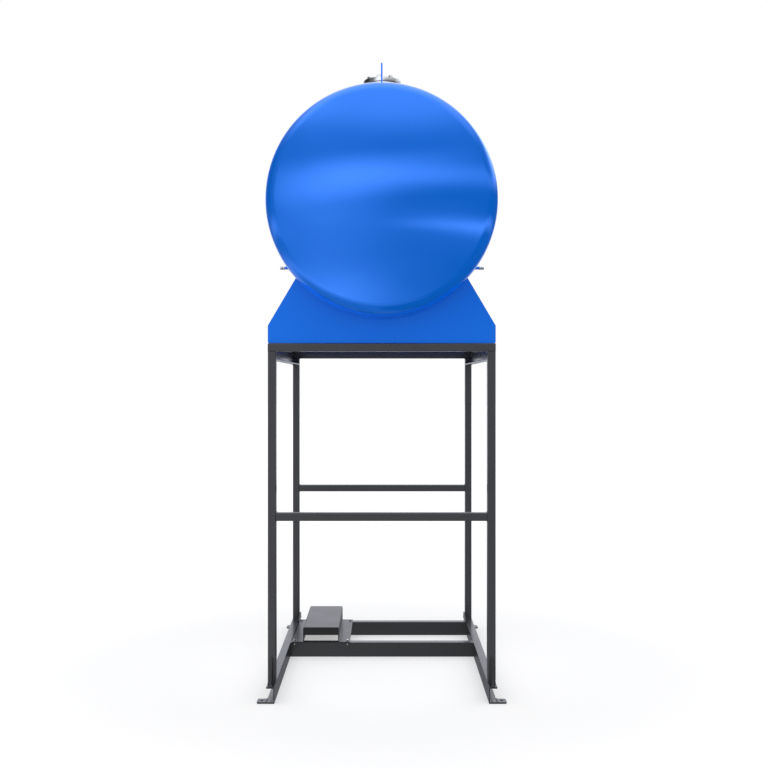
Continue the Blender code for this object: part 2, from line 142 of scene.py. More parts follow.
class Solid:
    """A closed shape under way, made and changed with bmesh operators."""

    def __init__(self) -> None:
        """Starts with an empty form."""
        self.form = bmesh.new()

    @classmethod
    def box(cls, low: Sequence[float], high: Sequence[float]) -> Solid:
        """Makes a box between two corners.

        Args:
            low: The lowest corner.
            high: The highest corner.

        Returns:
            The box.
        """
        low, high = Vector(low), Vector(high)
        solid = cls()
        size = Matrix.Diagonal((*(high - low), 1.0))
        bmesh.ops.create_cube(solid.form, size=1.0, matrix=Matrix.Translation((low + high) / 2) @ size)
        return solid

    @classmethod
    def prism(cls, corners: Sequence[Vector], depth: Vector,
              rounding: Mapping[int, float] | None = None, wall: float = 0.0) -> Solid:
        """Pushes a flat outline along a depth vector.

        Args:
            corners: The outline's corners in order.
            depth: The push, across the outline's plane.
            rounding: Corner radii by the corner's number. Other corners stay sharp.
            wall: Thickness of a tube's wall, or 0 for a solid bar.

        Returns:
            The prism, or the tube where a wall is given.
        """
        solid = cls()
        form = solid.form
        outline = [form.verts.new(corner) for corner in corners]
        form.faces.new(outline)
        rounding = rounding or {}
        for radius in sorted(set(rounding.values())):
            chosen = [outline[number] for number, value in rounding.items() if value == radius]
            solid.bevel(chosen, radius, CORNER_STEPS, "VERTICES")
        faces = list(form.faces)
        if wall:
            rim = bmesh.ops.inset_region(form, faces=faces, thickness=wall, use_boundary=True,
                                         use_even_offset=True)["faces"]
            bmesh.ops.delete(form, geom=faces, context="FACES")
            faces = rim
        solid.push(faces, depth)
        return solid.closed()

    @classmethod
    def turned(cls, profile: Sequence[tuple[float, float]], placing: Matrix, steps: int) -> Solid:
        """Turns a profile about Z and places the result.

        Args:
            profile: Radius and height of each point. It is open where it starts on the axis.
            placing: Where the turned shape goes.
            steps: Faces round the shape.

        Returns:
            The turned solid.
        """
        solid = cls()
        form = solid.form
        line = [form.verts.new((radius, 0.0, height)) for radius, height in profile]
        follow = line[1:] if profile[0][0] == 0 else line[1:] + line[:1]
        edges = [form.edges.new(pair) for pair in zip(line, follow)]
        bmesh.ops.spin(form, geom=[*line, *edges], cent=(0, 0, 0), axis=(0, 0, 1), angle=FULL_TURN,
                       steps=steps, use_merge=True, use_duplicate=False)
        form.transform(placing)
        return solid.closed()

    @classmethod
    def rod(cls, start: Vector, end: Vector, radius: float, steps: int) -> Solid:
        """Makes a round or many-sided bar between two points.

        Args:
            start: Centre of the first end.
            end: Centre of the other end.
            radius: Radius to the corners.
            steps: Sides of the bar.

        Returns:
            The bar.
        """
        solid = cls()
        along = end - start
        turn = along.to_track_quat("Z", "Y").to_matrix().to_4x4()
        placing = Matrix.Translation((start + end) / 2) @ turn
        bmesh.ops.create_cone(solid.form, cap_ends=True, cap_tris=False, segments=steps, radius1=radius,
                              radius2=radius, depth=along.length, matrix=placing)
        return solid

    @classmethod
    def bead(cls, path: Sequence[Vector], radius: float, looped: bool = False) -> Solid:
        """Lays a rippled weld bead along a path.

        Args:
            path: Points a ripple apart.
            radius: Radius of the bead.
            looped: True where the path closes on itself.

        Returns:
            The bead.
        """
        solid = cls()
        form = solid.form
        count = len(path)
        rings = []
        for number, point in enumerate(path):
            before = path[number - 1] if looped or number else point
            after = path[(number + 1) % count] if looped or number < count - 1 else point
            turn = (after - before).to_track_quat("Z", "Y").to_matrix().to_4x4()
            size = radius * (1.0 if number % 2 else BEAD_DIP)
            made = bmesh.ops.create_circle(form, cap_ends=False, radius=size, segments=BEAD_SIDES,
                                           matrix=Matrix.Translation(point) @ turn)["verts"]
            rings.append({edge for vert in made for edge in vert.link_edges})
        bmesh.ops.bridge_loops(form, edges=[edge for loop in rings for edge in loop], use_cyclic=looped)
        if not looped:
            bmesh.ops.holes_fill(form, edges=[edge for edge in form.edges if edge.is_boundary], sides=0)
        return solid.closed()

    def closed(self) -> Solid:
        """Merges doubled vertices, turns the faces outwards and returns the solid."""
        bmesh.ops.remove_doubles(self.form, verts=self.form.verts, dist=MERGE_DISTANCE)
        bmesh.ops.recalc_face_normals(self.form, faces=self.form.faces)
        return self

    def push(self, faces: Sequence[bmesh.types.BMFace], depth: Vector) -> None:
        """Extrudes faces along a vector.

        Args:
            faces: The faces to push.
            depth: How far and which way.
        """
        pushed = bmesh.ops.extrude_face_region(self.form, geom=list(faces))["geom"]
        moved = [item for item in pushed if isinstance(item, bmesh.types.BMVert)]
        bmesh.ops.translate(self.form, verts=moved, vec=depth)

    def bevel(self, geometry: Sequence[object], width: float, segments: int, affect: str = "EDGES",
              clamped: bool = False) -> None:
        """Rounds the given edges or corners.

        Args:
            geometry: The edges or vertices.
            width: Radius of the rounding.
            segments: Faces across it.
            affect: Which of the two the geometry holds, EDGES or VERTICES.
            clamped: True to stop the rounding where it would run into another one.
        """
        bmesh.ops.bevel(self.form, geom=geometry, offset=width, offset_type="OFFSET", affect=affect,
                        segments=segments, profile=0.5, clamp_overlap=clamped, material=-1)

    def soften(self, width: float, segments: int = 2) -> Solid:
        """Rounds every sharp edge and returns the solid.

        Args:
            width: Radius of the rounding.
            segments: Faces across it.

        Returns:
            The same solid.
        """
        edges = [edge for edge in self.form.edges
                 if edge.is_manifold and edge.calc_face_angle() > SHARP_EDGE]
        self.bevel(edges, width, segments, clamped=True)
        return self

    def placed(self, placing: Matrix) -> Solid:
        """Moves the solid by a matrix and returns it."""
        self.form.transform(placing)
        return self

    def mesh(self, name: str) -> bpy.types.Mesh:
        """Writes the form to a new mesh and frees it.

        Args:
            name: Name of the mesh.

        Returns:
            The mesh.
        """
        mesh = bpy.data.meshes.new(name)
        self.form.to_mesh(mesh)
        self.form.free()
        return mesh

    def joined(self, *others: Solid) -> Solid:
        """Takes other solids into this one as loose parts and returns it."""
        for other in others:
            mesh = other.mesh("part")
            self.form.from_mesh(mesh)
            bpy.data.meshes.remove(mesh)
        return self

    def combined(self, tool: Solid, way: Combining = Combining.CUT) -> Solid:
        """Cuts, joins or trims the solid with another one.

        Args:
            tool: The other solid, which is used up.
            way: What the tool does.

        Returns:
            A new solid.
        """
        shown = bpy.context.scene.collection.objects
        body = bpy.data.objects.new("body", self.mesh("body"))
        other = bpy.data.objects.new("tool", tool.mesh("tool"))
        shown.link(body)
        shown.link(other)
        step = body.modifiers.new("combine", "BOOLEAN")
        step.operation = way.value
        step.solver = "EXACT"
        step.object = other
        graph = bpy.context.evaluated_depsgraph_get()
        made = bpy.data.meshes.new_from_object(body.evaluated_get(graph))
        result = Solid()
        result.form.from_mesh(made)
        for mesh in (made, body.data, other.data):
            bpy.data.meshes.remove(mesh)
        return result.closed()


def arc(centre: Vector, radius: float, start: float, end: float, steps: int, across: tuple[Vector, Vector]
        ) -> list[Vector]:
    """Finds points on an arc.

    Args:
        centre: Centre of the arc.
        radius: Its radius.
        start: First angle, from the first direction towards the second.
        end: Last angle.
        steps: Stretches between the points.
        across: The two directions that the arc lies in.

    Returns:
        The points, both ends included.
    """
    points = []
    for step in range(steps + 1):
        turn = start + (end - start) * step / steps
        points.append(centre + radius * (math.cos(turn) * across[0] + math.sin(turn) * across[1]))
    return points


def ripples(start: Vector, end: Vector) -> list[Vector]:
    """Spaces points a ripple apart between two ends of a straight weld.

    Args:
        start: Where the weld starts.
        end: Where it ends.

    Returns:
        The points.
    """
    start, end = Vector(start), Vector(end)
    steps = max(2, round((end - start).length / BEAD_PITCH))
    return [start.lerp(end, step / steps) for step in range(steps + 1)]


def ring(centre: Vector, radius: float, across: tuple[Vector, Vector], sunk: float = 0.0) -> list[Vector]:
    """Spaces points a ripple apart on a circle.

    Args:
        centre: Centre of the circle.
        radius: The radius that the ripples are counted on.
        across: The two directions that the circle lies in.
        sunk: How far the points lie inside that radius.

    Returns:
        The points, each one once.
    """
    steps = round(FULL_TURN * radius / BEAD_PITCH / 2) * 2
    return arc(centre, radius - sunk, 0.0, FULL_TURN, steps, across)[:-1]


def box_radius(node: str) -> float:
    """Half of a node's width along X."""
    low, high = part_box(node)
    return (high.x - low.x) / 2


def end_face(low: Vector, high: Vector, axis: Axis) -> tuple[list[Vector], Vector]:
    """Finds the face at the lower end of a box and the way to its other end.

    Args:
        low: The box's lowest corner.
        high: Its highest corner.
        axis: The axis that the face lies across.

    Returns:
        The face's corners in order, and the vector to the far end.
    """
    first, second = (place for place in range(3) if place != axis.value)
    corners = []
    for pick_first, pick_second in ((low, low), (high, low), (high, high), (low, high)):
        corner = low.copy()
        corner[first] = pick_first[first]
        corner[second] = pick_second[second]
        corners.append(corner)
    return corners, axis.unit * (high - low)[axis.value]


class Graph:
    """A node tree under way, with short calls for its nodes and links."""

    def __init__(self, tree: bpy.types.NodeTree) -> None:
        """Works on the given tree."""
        self.tree = tree

    def node(self, kind: str, **settings: object) -> bpy.types.Node:
        """Adds a node.

        Args:
            kind: The node's type.
            settings: Values of its properties.

        Returns:
            The node.
        """
        node = self.tree.nodes.new(kind)
        for key, value in settings.items():
            setattr(node, key, value)
        return node

    def feed(self, socket: bpy.types.NodeSocket, value: object) -> None:
        """Links a socket to another, or sets its value.

        Args:
            socket: The socket to feed.
            value: A socket to link from, or a plain value.
        """
        if isinstance(value, bpy.types.NodeSocket):
            self.tree.links.new(value, socket)
        else:
            socket.default_value = value

    def feed_all(self, sockets: Sequence[bpy.types.NodeSocket], values: Sequence[object]) -> None:
        """Feeds sockets in order, each with its own value."""
        for socket, value in zip(sockets, values):
            self.feed(socket, value)

    def fed(self, kind: str, values: Mapping[str | int, object], **settings: object) -> bpy.types.Node:
        """Adds a node and feeds its named inputs.

        Args:
            kind: The node's type.
            values: What goes into its inputs, by their names.
            settings: Values of its properties.

        Returns:
            The node.
        """
        node = self.node(kind, **settings)
        for name, value in values.items():
            self.feed(node.inputs[name], value)
        return node

    def math(self, operation: str, *values: object) -> bpy.types.NodeSocket:
        """Adds a math node.

        Args:
            operation: What it works out.
            values: Its numbers or sockets, in order.

        Returns:
            Its output.
        """
        node = self.node("ShaderNodeMath", operation=operation)
        self.feed_all(node.inputs, values)
        return node.outputs[0]

    def ramp(self, value: object, from_low: float, from_high: float, to_low: float, to_high: float
             ) -> bpy.types.NodeSocket:
        """Maps a value smoothly from one range to another.

        Args:
            value: The number or socket to map.
            from_low: Start of its range.
            from_high: End of its range.
            to_low: Result at the start.
            to_high: Result at the end.

        Returns:
            The output.
        """
        node = self.node("ShaderNodeMapRange", interpolation_type="SMOOTHSTEP")
        self.feed_all(node.inputs, (value, from_low, from_high, to_low, to_high))
        return node.outputs[0]

    def blend(self, mask: object, first: object, second: object) -> bpy.types.NodeSocket:
        """Mixes two colours by a mask.

        Args:
            mask: Share of the second colour.
            first: The first colour, as RGBA or a socket.
            second: The second colour.

        Returns:
            The mixed colour.
        """
        node = self.node("ShaderNodeMix", data_type="RGBA")
        self.feed_all((node.inputs[0], node.inputs[6], node.inputs[7]), (mask, first, second))
        return node.outputs[2]

    def mixed_shader(self, share: object, first: object, second: object) -> bpy.types.NodeSocket:
        """Mixes two shaders.

        Args:
            share: Share of the second shader.
            first: The first shader's socket.
            second: The second shader's socket.

        Returns:
            The mixed shader.
        """
        node = self.node("ShaderNodeMixShader")
        self.feed_all(node.inputs, (share, first, second))
        return node.outputs[0]

    def noise(self, place: object, size: object, detail: float = 2.0) -> bpy.types.NodeSocket:
        """Adds noise of a given grain size, from 0 to 1.

        Args:
            place: The vector to read it at.
            size: Size of its grains in metres.
            detail: Finer layers in it.

        Returns:
            The noise.
        """
        scale = self.math("DIVIDE", 1.0, size)
        values = {"Vector": place, "Scale": scale, "Detail": detail}
        return self.fed("ShaderNodeTexNoise", values).outputs[0]


class Effects:
    """Shader node groups that several finishes share, each built once."""

    GRAIN_SHARE = 0.35
    DRIFT_RANGE = (0.3, 0.7)
    LEVEL_RANGE = (0.55, 1.0)
    VEIL_RANGE = (0.3, 0.75)
    VEIL_LOW = 0.35

    def __init__(self) -> None:
        """Builds the groups."""
        self.peel = self._peel()
        self.drift = self._drift()
        self.dust = self._dust()

    @staticmethod
    def _started(name: str, inputs: Mapping[str, float], output: str) -> tuple[Graph, bpy.types.Node,
                                                                              bpy.types.Node]:
        """Starts a group with a place, some numbers and one output.

        Args:
            name: The group's name.
            inputs: Its number inputs with their usual values.
            output: The name of its output.

        Returns:
            The group's graph, its input node and its output node.
        """
        tree = bpy.data.node_groups.new(name, "ShaderNodeTree")
        tree.interface.new_socket("Place", in_out="INPUT", socket_type="NodeSocketVector")
        for label, value in inputs.items():
            socket = tree.interface.new_socket(label, in_out="INPUT", socket_type="NodeSocketFloat")
            socket.default_value = value
        tree.interface.new_socket(output, in_out="OUTPUT", socket_type="NodeSocketFloat")
        graph = Graph(tree)
        return graph, graph.node("NodeGroupInput"), graph.node("NodeGroupOutput")

    def _peel(self) -> bpy.types.NodeTree:
        """Sprayed paint: a fine peel over the long waves of rolled plate. Returns the group."""
        usual = {"Peel Size": 0.003, "Peel Depth": 0.000004, "Wave Size": 0.25, "Wave Depth": 0.0002}
        graph, given, result = self._started("sprayed_surface", usual, "Height")
        peel = graph.noise(given.outputs["Place"], given.outputs["Peel Size"])
        wave = graph.noise(given.outputs["Place"], given.outputs["Wave Size"], 0.0)
        fine = graph.math("MULTIPLY", peel, given.outputs["Peel Depth"])
        graph.feed(result.inputs[0], graph.math("MULTIPLY_ADD", wave, given.outputs["Wave Depth"], fine))
        return graph.tree

    def _drift(self) -> bpy.types.NodeTree:
        """Slow patches that shift a colour or a roughness. Returns the group."""
        graph, given, result = self._started("slow_drift", {"Patch Size": 0.2, "Grain Size": 0.004}, "Mask")
        patches = graph.noise(given.outputs["Place"], given.outputs["Patch Size"], 3.0)
        grains = graph.noise(given.outputs["Place"], given.outputs["Grain Size"], 1.0)
        patches = graph.math("MULTIPLY", patches, 1 - self.GRAIN_SHARE)
        mixed = graph.math("MULTIPLY_ADD", grains, self.GRAIN_SHARE, patches)
        graph.feed(result.inputs[0], graph.ramp(mixed, *self.DRIFT_RANGE, 0.0, 1.0))
        return graph.tree

    def _dust(self) -> bpy.types.NodeTree:
        """A thin veil of dust on what faces up. Returns the group."""
        graph, given, result = self._started("settled_dust", {"Amount": 0.1, "Patch Size": 0.05}, "Mask")
        facing = graph.node("ShaderNodeSeparateXYZ")
        graph.feed(facing.inputs[0], graph.node("ShaderNodeNewGeometry").outputs["Normal"])
        level = graph.ramp(facing.outputs["Z"], *self.LEVEL_RANGE, 0.0, 1.0)
        patches = graph.noise(given.outputs["Place"], given.outputs["Patch Size"], 4.0)
        veil = graph.math("MULTIPLY", level, graph.ramp(patches, *self.VEIL_RANGE, self.VEIL_LOW, 1.0))
        graph.feed(result.inputs[0], graph.math("MULTIPLY", veil, given.outputs["Amount"]))
        return graph.tree


@dataclass(frozen=True)
class Finish:
    """A finish that is ready to use."""

    material: bpy.types.Material
    slot: Slot


@dataclass(frozen=True)
class Coating:
    """What every finish is made from: a shader with drifting colour, dust and a fine relief."""

    name: str
    slot: Slot
    colour: Colour
    metallic: float
    roughness: float
    colour_drift: float = 0.04
    roughness_drift: float = 0.05
    patch_size: float = 0.2
    specular: float = 0.5
    coat: float = 0.0
    coat_roughness: float = 0.03
    peel_size: float = 0.003
    peel_depth: float = 0.000004
    wave_size: float = 0.3
    wave_depth: float = 0.0001
    dust: float = 0.04
    dust_colour: Colour = (0.42, 0.41, 0.39)
    turned_pitch: float = 0.0
    turned_depth: float = 0.000004
    spangle: float = 0.0
    spangle_size: float = 0.009
    spangle_shade: float = 0.7

    def _shade(self, factor: float) -> tuple[float, float, float, float]:
        """The colour made lighter or darker by a factor, as RGBA."""
        return (*(min(1.0, channel * factor) for channel in self.colour), 1.0)

    def _relief(self, graph: Graph, place: bpy.types.NodeSocket, effects: Effects) -> bpy.types.NodeSocket:
        """Works out the height of the surface's relief.

        Args:
            graph: The material's graph.
            place: Object coordinates.
            effects: The shared groups.

        Returns:
            The height in metres.
        """
        values = {"Place": place, "Peel Size": self.peel_size, "Peel Depth": self.peel_depth,
                  "Wave Size": self.wave_size, "Wave Depth": self.wave_depth}
        height = graph.fed("ShaderNodeGroup", values, node_tree=effects.peel)
        if not self.turned_pitch:
            return height.outputs["Height"]
        flat = graph.fed("ShaderNodeVectorMath", {0: place, 1: (1.0, 1.0, 0.0)}, operation="MULTIPLY")
        reach = graph.fed("ShaderNodeVectorMath", {0: flat.outputs[0]}, operation="LENGTH")
        turns = graph.math("MULTIPLY", reach.outputs["Value"], FULL_TURN / self.turned_pitch)
        groove = graph.math("SINE", turns)
        return graph.math("MULTIPLY_ADD", groove, self.turned_depth, height.outputs["Height"])

    def made(self, effects: Effects) -> Finish:
        """Builds the material.

        Args:
            effects: The shared node groups.

        Returns:
            The finish.
        """
        material = bpy.data.materials.new(self.name)
        material.use_nodes = True
        graph = Graph(material.node_tree)
        shader = material.node_tree.nodes["Principled BSDF"]
        place = graph.node("ShaderNodeTexCoord").outputs["Object"]
        drift = graph.fed("ShaderNodeGroup", {"Place": place, "Patch Size": self.patch_size},
                          node_tree=effects.drift)
        dust = graph.fed("ShaderNodeGroup", {"Place": place, "Amount": self.dust}, node_tree=effects.dust)
        colour = graph.blend(drift.outputs["Mask"], self._shade(1 - self.colour_drift),
                             self._shade(1 + self.colour_drift))
        if self.spangle:
            cells = graph.fed("ShaderNodeTexVoronoi", {"Vector": place, "Scale": 1 / self.spangle_size})
            shade = graph.node("ShaderNodeSeparateColor")
            graph.feed(shade.inputs[0], cells.outputs["Color"])
            share = graph.math("MULTIPLY", shade.outputs[0], self.spangle)
            colour = graph.blend(share, colour, self._shade(self.spangle_shade))
        rough = graph.math("MULTIPLY_ADD", drift.outputs["Mask"], self.roughness_drift,
                           self.roughness - self.roughness_drift / 2)
        bump = graph.fed("ShaderNodeBump", {"Distance": 1.0, "Height": self._relief(graph, place, effects)})
        looks = {"Base Color": graph.blend(dust.outputs["Mask"], colour, (*self.dust_colour, 1.0)),
                 "Roughness": graph.math("ADD", rough, dust.outputs["Mask"]),
                 "Normal": bump.outputs["Normal"], "Metallic": self.metallic,
                 "Specular IOR Level": self.specular, "Coat Weight": self.coat,
                 "Coat Roughness": self.coat_roughness}
        for name, value in looks.items():
            graph.feed(shader.inputs[name], value)
        return Finish(material, self.slot)


TANK_BLUE = Coating("tank_blue_enamel", Slot.BLUE, (0.0004, 0.174, 0.865), metallic=0.41, roughness=0.10,
                    colour_drift=0.012, roughness_drift=0.02, patch_size=0.4, coat=0.35,
                    peel_depth=0.000002, dust=0.01)
# Painted light: the saddles take a copy of the tank's blue with its colour made a little brighter, to make
# up for the shade under the tank's overhang. The copy also has no clear coat.
SADDLE_LIT_BLUE = replace(TANK_BLUE, name="saddle_blue_enamel", colour=(0.0003, 0.176, 0.900), roughness=0.14,
                      coat=0.0)
STAND_GREY = Coating("stand_grey_enamel", Slot.DARK, (0.034, 0.0355, 0.0415), metallic=0.0, roughness=0.30,
                     colour_drift=0.05, roughness_drift=0.06, patch_size=0.15, coat=0.2, coat_roughness=0.12,
                     peel_depth=0.000006, dust=0.03)
# Painted shade: the stand's grey made darker on the rails, floor beams, feet and their welds, to stand in
# for the dimmer light near the floor. It is the same paint as the posts.
FLOOR_SHADED_GREY = replace(STAND_GREY, name="floor_level_shaded_grey", colour=(0.017, 0.018, 0.023))
# Painted shade: the shelf takes the stand's grey made darker still, with a lower specular level, to stand in
# for the shade on its lip and sides.
SHELF_SHADED_GREY = replace(STAND_GREY, name="shelf_shaded_grey", colour=(0.009, 0.0095, 0.0125), specular=0.34,
                     coat=0.1)
PLATED_ZINC = Coating("plated_zinc", Slot.ZINC, (0.65, 0.67, 0.71), metallic=1.0, roughness=0.16,
                      colour_drift=0.04, roughness_drift=0.08, patch_size=0.02, peel_size=0.0012,
                      peel_depth=0.000003, spangle=0.3, spangle_size=0.004, dust=0.03)
TURNED_ZINC = replace(PLATED_ZINC, name="turned_zinc", roughness=0.09, roughness_drift=0.03, patch_size=0.05,
                      peel_size=0.002, spangle=0.4, spangle_size=0.010, turned_pitch=0.0012, dust=0.04)
GASKET_GREY = Coating("gasket_grey", Slot.GASKET, (0.10, 0.10, 0.105), metallic=0.0, roughness=0.75,
                      colour_drift=0.15, roughness_drift=0.1, patch_size=0.01, peel_size=0.0008,
                      peel_depth=0.00003, dust=0.05)


def place_piece(solid: Solid, name: str, finish: Finish, *nodes: str) -> bpy.types.Object:
    """Turns a solid into a piece of the object.

    Args:
        solid: The finished shape.
        name: The piece's name.
        finish: What it is finished with.
        nodes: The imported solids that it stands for.

    Returns:
        The piece.
    """
    mesh = solid.mesh(name)
    mesh.materials.append(finish.material)
    mesh.shade_smooth()
    mesh.set_sharp_from_angle(angle=SHADED_SHARP)
    piece = bpy.data.objects.new(name, mesh)
    bpy.context.scene.collection.objects.link(piece)
    shading = piece.modifiers.new("flat faces stay flat", "WEIGHTED_NORMAL")
    shading.keep_sharp = True
    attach(piece, BODY)
    if nodes:
        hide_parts(*nodes)
    return piece


@dataclass
class Stand:
    """The welded stand: square tube above, rolled channel on the floor and under the tank."""

    finish: Finish
    # The darker floor-level grey, which is painted shade.
    shaded_low_finish: Finish
    tube_wall: float = 0.003
    tube_radius: float = 0.005
    web: float = 0.0045
    flange: float = 0.0074
    root_radius: float = 0.006
    toe_radius: float = 0.003
    edge: float = 0.0014

    def tube(self, node: str, axis: Axis) -> bpy.types.Object:
        """Makes a length of square tube in a node's place.

        Args:
            node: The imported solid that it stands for.
            axis: The way that it runs.

        Returns:
            The tube.
        """
        corners, depth = end_face(*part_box(node), axis)
        rounding = dict.fromkeys(range(4), self.tube_radius)
        solid = Solid.prism(corners, depth, rounding, self.tube_wall)
        return place_piece(solid, f"{node}_tube", self.finish, node)

    def channel(self, node: str, axis: Axis, open_way: Vector, finish: Finish) -> bpy.types.Object:
        """Makes a length of rolled channel in a node's place.

        Args:
            node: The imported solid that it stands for.
            axis: The way that it runs.
            open_way: The way that its flanges point.
            finish: What it is finished with.

        Returns:
            The channel.
        """
        low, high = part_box(node)
        centre = (low + high) / 2
        size = high - low
        reach = abs(size.dot(open_way))
        half = size.z / 2
        lip = half - self.flange
        start = centre - open_way * reach / 2 - axis.unit * abs(size.dot(axis.unit)) / 2
        profile = ((0.0, -half), (reach, -half), (reach, -lip), (self.web, -lip),
                   (self.web, lip), (reach, lip), (reach, half), (0.0, half))
        corners = [start + open_way * out + Axis.Z.unit * up for out, up in profile]
        rounding = {0: self.edge, 1: self.edge, 2: self.toe_radius, 3: self.root_radius,
                    4: self.root_radius, 5: self.toe_radius, 6: self.edge, 7: self.edge}
        solid = Solid.prism(corners, axis.unit * abs(size.dot(axis.unit)), rounding)
        return place_piece(solid, f"{node}_section", finish, node)

    def build(self) -> list[bpy.types.Object]:
        """Builds the posts, beams, bars, channels and rails and returns them."""
        pieces = []
        for end in End:
            pieces += [self.tube(f"post_{end.word}_{flank.word}", Axis.Z) for flank in Flank]
            pieces.append(self.tube(f"top_beam_{end.word}", Axis.X))
            pieces.append(self.tube(f"crossbar_{end.word}", Axis.X))
        for flank in Flank:
            outwards = Axis.X.unit * flank.value
            pieces.append(self.channel(f"top_channel_{flank.word}", Axis.Y, -outwards, self.finish))
            pieces.append(self.channel(f"base_rail_{flank.word}", Axis.Y, outwards, self.shaded_low_finish))
        for node in ("base_beam_middle", "base_beam_rear"):
            pieces.append(self.channel(node, Axis.X, Axis.Y.unit, self.shaded_low_finish))
        return pieces


@dataclass
class FloorFittings:
    """Anchor feet, gussets and braces at the foot of the stand."""

    # The feet, gussets and braces take the darker floor-level grey, which is painted shade.
    finish: Finish
    corner: float = 0.008
    hole: float = 0.014
    edge: float = 0.0008
    toe: float = 0.008
    drill_reach: float = 0.02
    round_steps: int = 32

    def foot(self, end: End, flank: Flank) -> bpy.types.Object:
        """Makes an anchor plate with rounded outer corners and its hole.

        Args:
            end: The end of the rail.
            flank: The side of the stand.

        Returns:
            The plate.
        """
        node = f"anchor_foot_{end.word}_{flank.word}"
        low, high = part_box(node)
        corners, depth = end_face(low, high, Axis.Z)
        outer = (0, 3) if flank is Flank.LEFT else (1, 2)
        plate = Solid.prism(corners, depth, dict.fromkeys(outer, self.corner))
        centre = (low + high) / 2
        reach = Axis.Z.unit * self.drill_reach
        drill = Solid.rod(centre - reach, centre + reach, self.hole / 2, self.round_steps)
        return place_piece(plate.combined(drill).soften(self.edge), f"{node}_plate", self.finish, node)

    def _upright(self, node: str, outline: Sequence[tuple[float, float]]) -> bpy.types.Object:
        """Makes a plate that stands across X.

        Args:
            node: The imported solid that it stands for.
            outline: Its corners along Y and Z.

        Returns:
            The plate.
        """
        low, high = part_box(node)
        corners = [Vector((low.x, along, up)) for along, up in outline]
        solid = Solid.prism(corners, Axis.X.unit * (high.x - low.x)).soften(self.edge)
        return place_piece(solid, f"{node}_plate", self.finish, node)

    def gusset(self, end: End, flank: Flank) -> bpy.types.Object:
        """Makes the triangular plate outside a post.

        Args:
            end: The end of the stand.
            flank: The side of the stand.

        Returns:
            The plate.
        """
        node = f"post_gusset_{end.word}_{flank.word}"
        low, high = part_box(node)
        near, far = (high.y, low.y) if end is End.FRONT else (low.y, high.y)
        outline = ((near, low.z), (far, low.z), (far, low.z + self.toe),
                   (near + end.value * self.toe, high.z), (near, high.z))
        return self._upright(node, outline)

    def brace(self, flank: Flank) -> bpy.types.Object:
        """Makes the plate inside a rear post.

        Args:
            flank: The side of the stand.

        Returns:
            The plate.
        """
        node = f"post_brace_{flank.word}"
        low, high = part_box(node)
        post_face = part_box("post_rear_left")[0].y
        outline = ((low.y, low.z), (high.y, low.z), (high.y, high.z), (post_face, high.z),
                   (low.y, low.z + self.toe))
        return self._upright(node, outline)

    def build(self) -> list[bpy.types.Object]:
        """Builds the feet, gussets and braces and returns them."""
        pieces = []
        for end in End:
            for flank in Flank:
                pieces += [self.foot(end, flank), self.gusset(end, flank)]
        return pieces + [self.brace(flank) for flank in Flank]


@dataclass
class Fastener:
    """A hexagon nut or bolt head with its washer, made pointing up at the origin."""

    flats: float
    height: float
    stud: float
    stud_height: float
    washer: float
    washer_thick: float = 0.0016
    chamfer: float = 0.14
    bearing: float = 0.97
    eased: float = 0.3
    stud_tip: float = 0.75
    round_steps: int = 20

    def head(self) -> Solid:
        """Makes the hexagon with both rims chamfered and returns it."""
        corner = self.flats / 2 / math.cos(math.pi / 6)
        base, top = self.washer_thick, self.washer_thick + self.height
        drop = self.height * self.chamfer
        hexagon = Solid.rod(Vector((0, 0, base)), Vector((0, 0, top)), corner, 6)
        inner = self.flats / 2 * self.bearing
        outer = corner + drop * self.eased
        profile = ((0, base), (inner, base), (outer, base + drop), (outer, top - drop), (inner, top),
                   (0, top))
        return hexagon.combined(Solid.turned(profile, Matrix(), self.round_steps * 2), Combining.KEEP)

    def made(self) -> Solid:
        """Makes the whole fastener and returns it."""
        rim, thick = self.washer / 2, self.washer_thick
        half, tip = self.stud / 2, self.stud_height
        edge = thick * self.eased
        washer = ((0, 0), (rim, 0), (rim, thick - edge), (rim - edge, thick), (0, thick))
        stud = ((0, thick), (half, thick), (half, tip - half * self.eased), (half * self.stud_tip, tip),
                (0, tip))
        rounds = (Solid.turned(line, Matrix(), self.round_steps) for line in (washer, stud))
        return self.head().joined(*rounds)


SHELF_BOLT = Fastener(flats=0.013, height=0.0055, stud=0.006, stud_height=0.0065, washer=0.017)
COVER_NUT = Fastener(flats=0.022, height=0.0114, stud=0.014, stud_height=0.017, washer=0.0255)
FLANGE_BOLT = Fastener(flats=0.022, height=0.009, stud=0.012, stud_height=0.009, washer=0.0255)


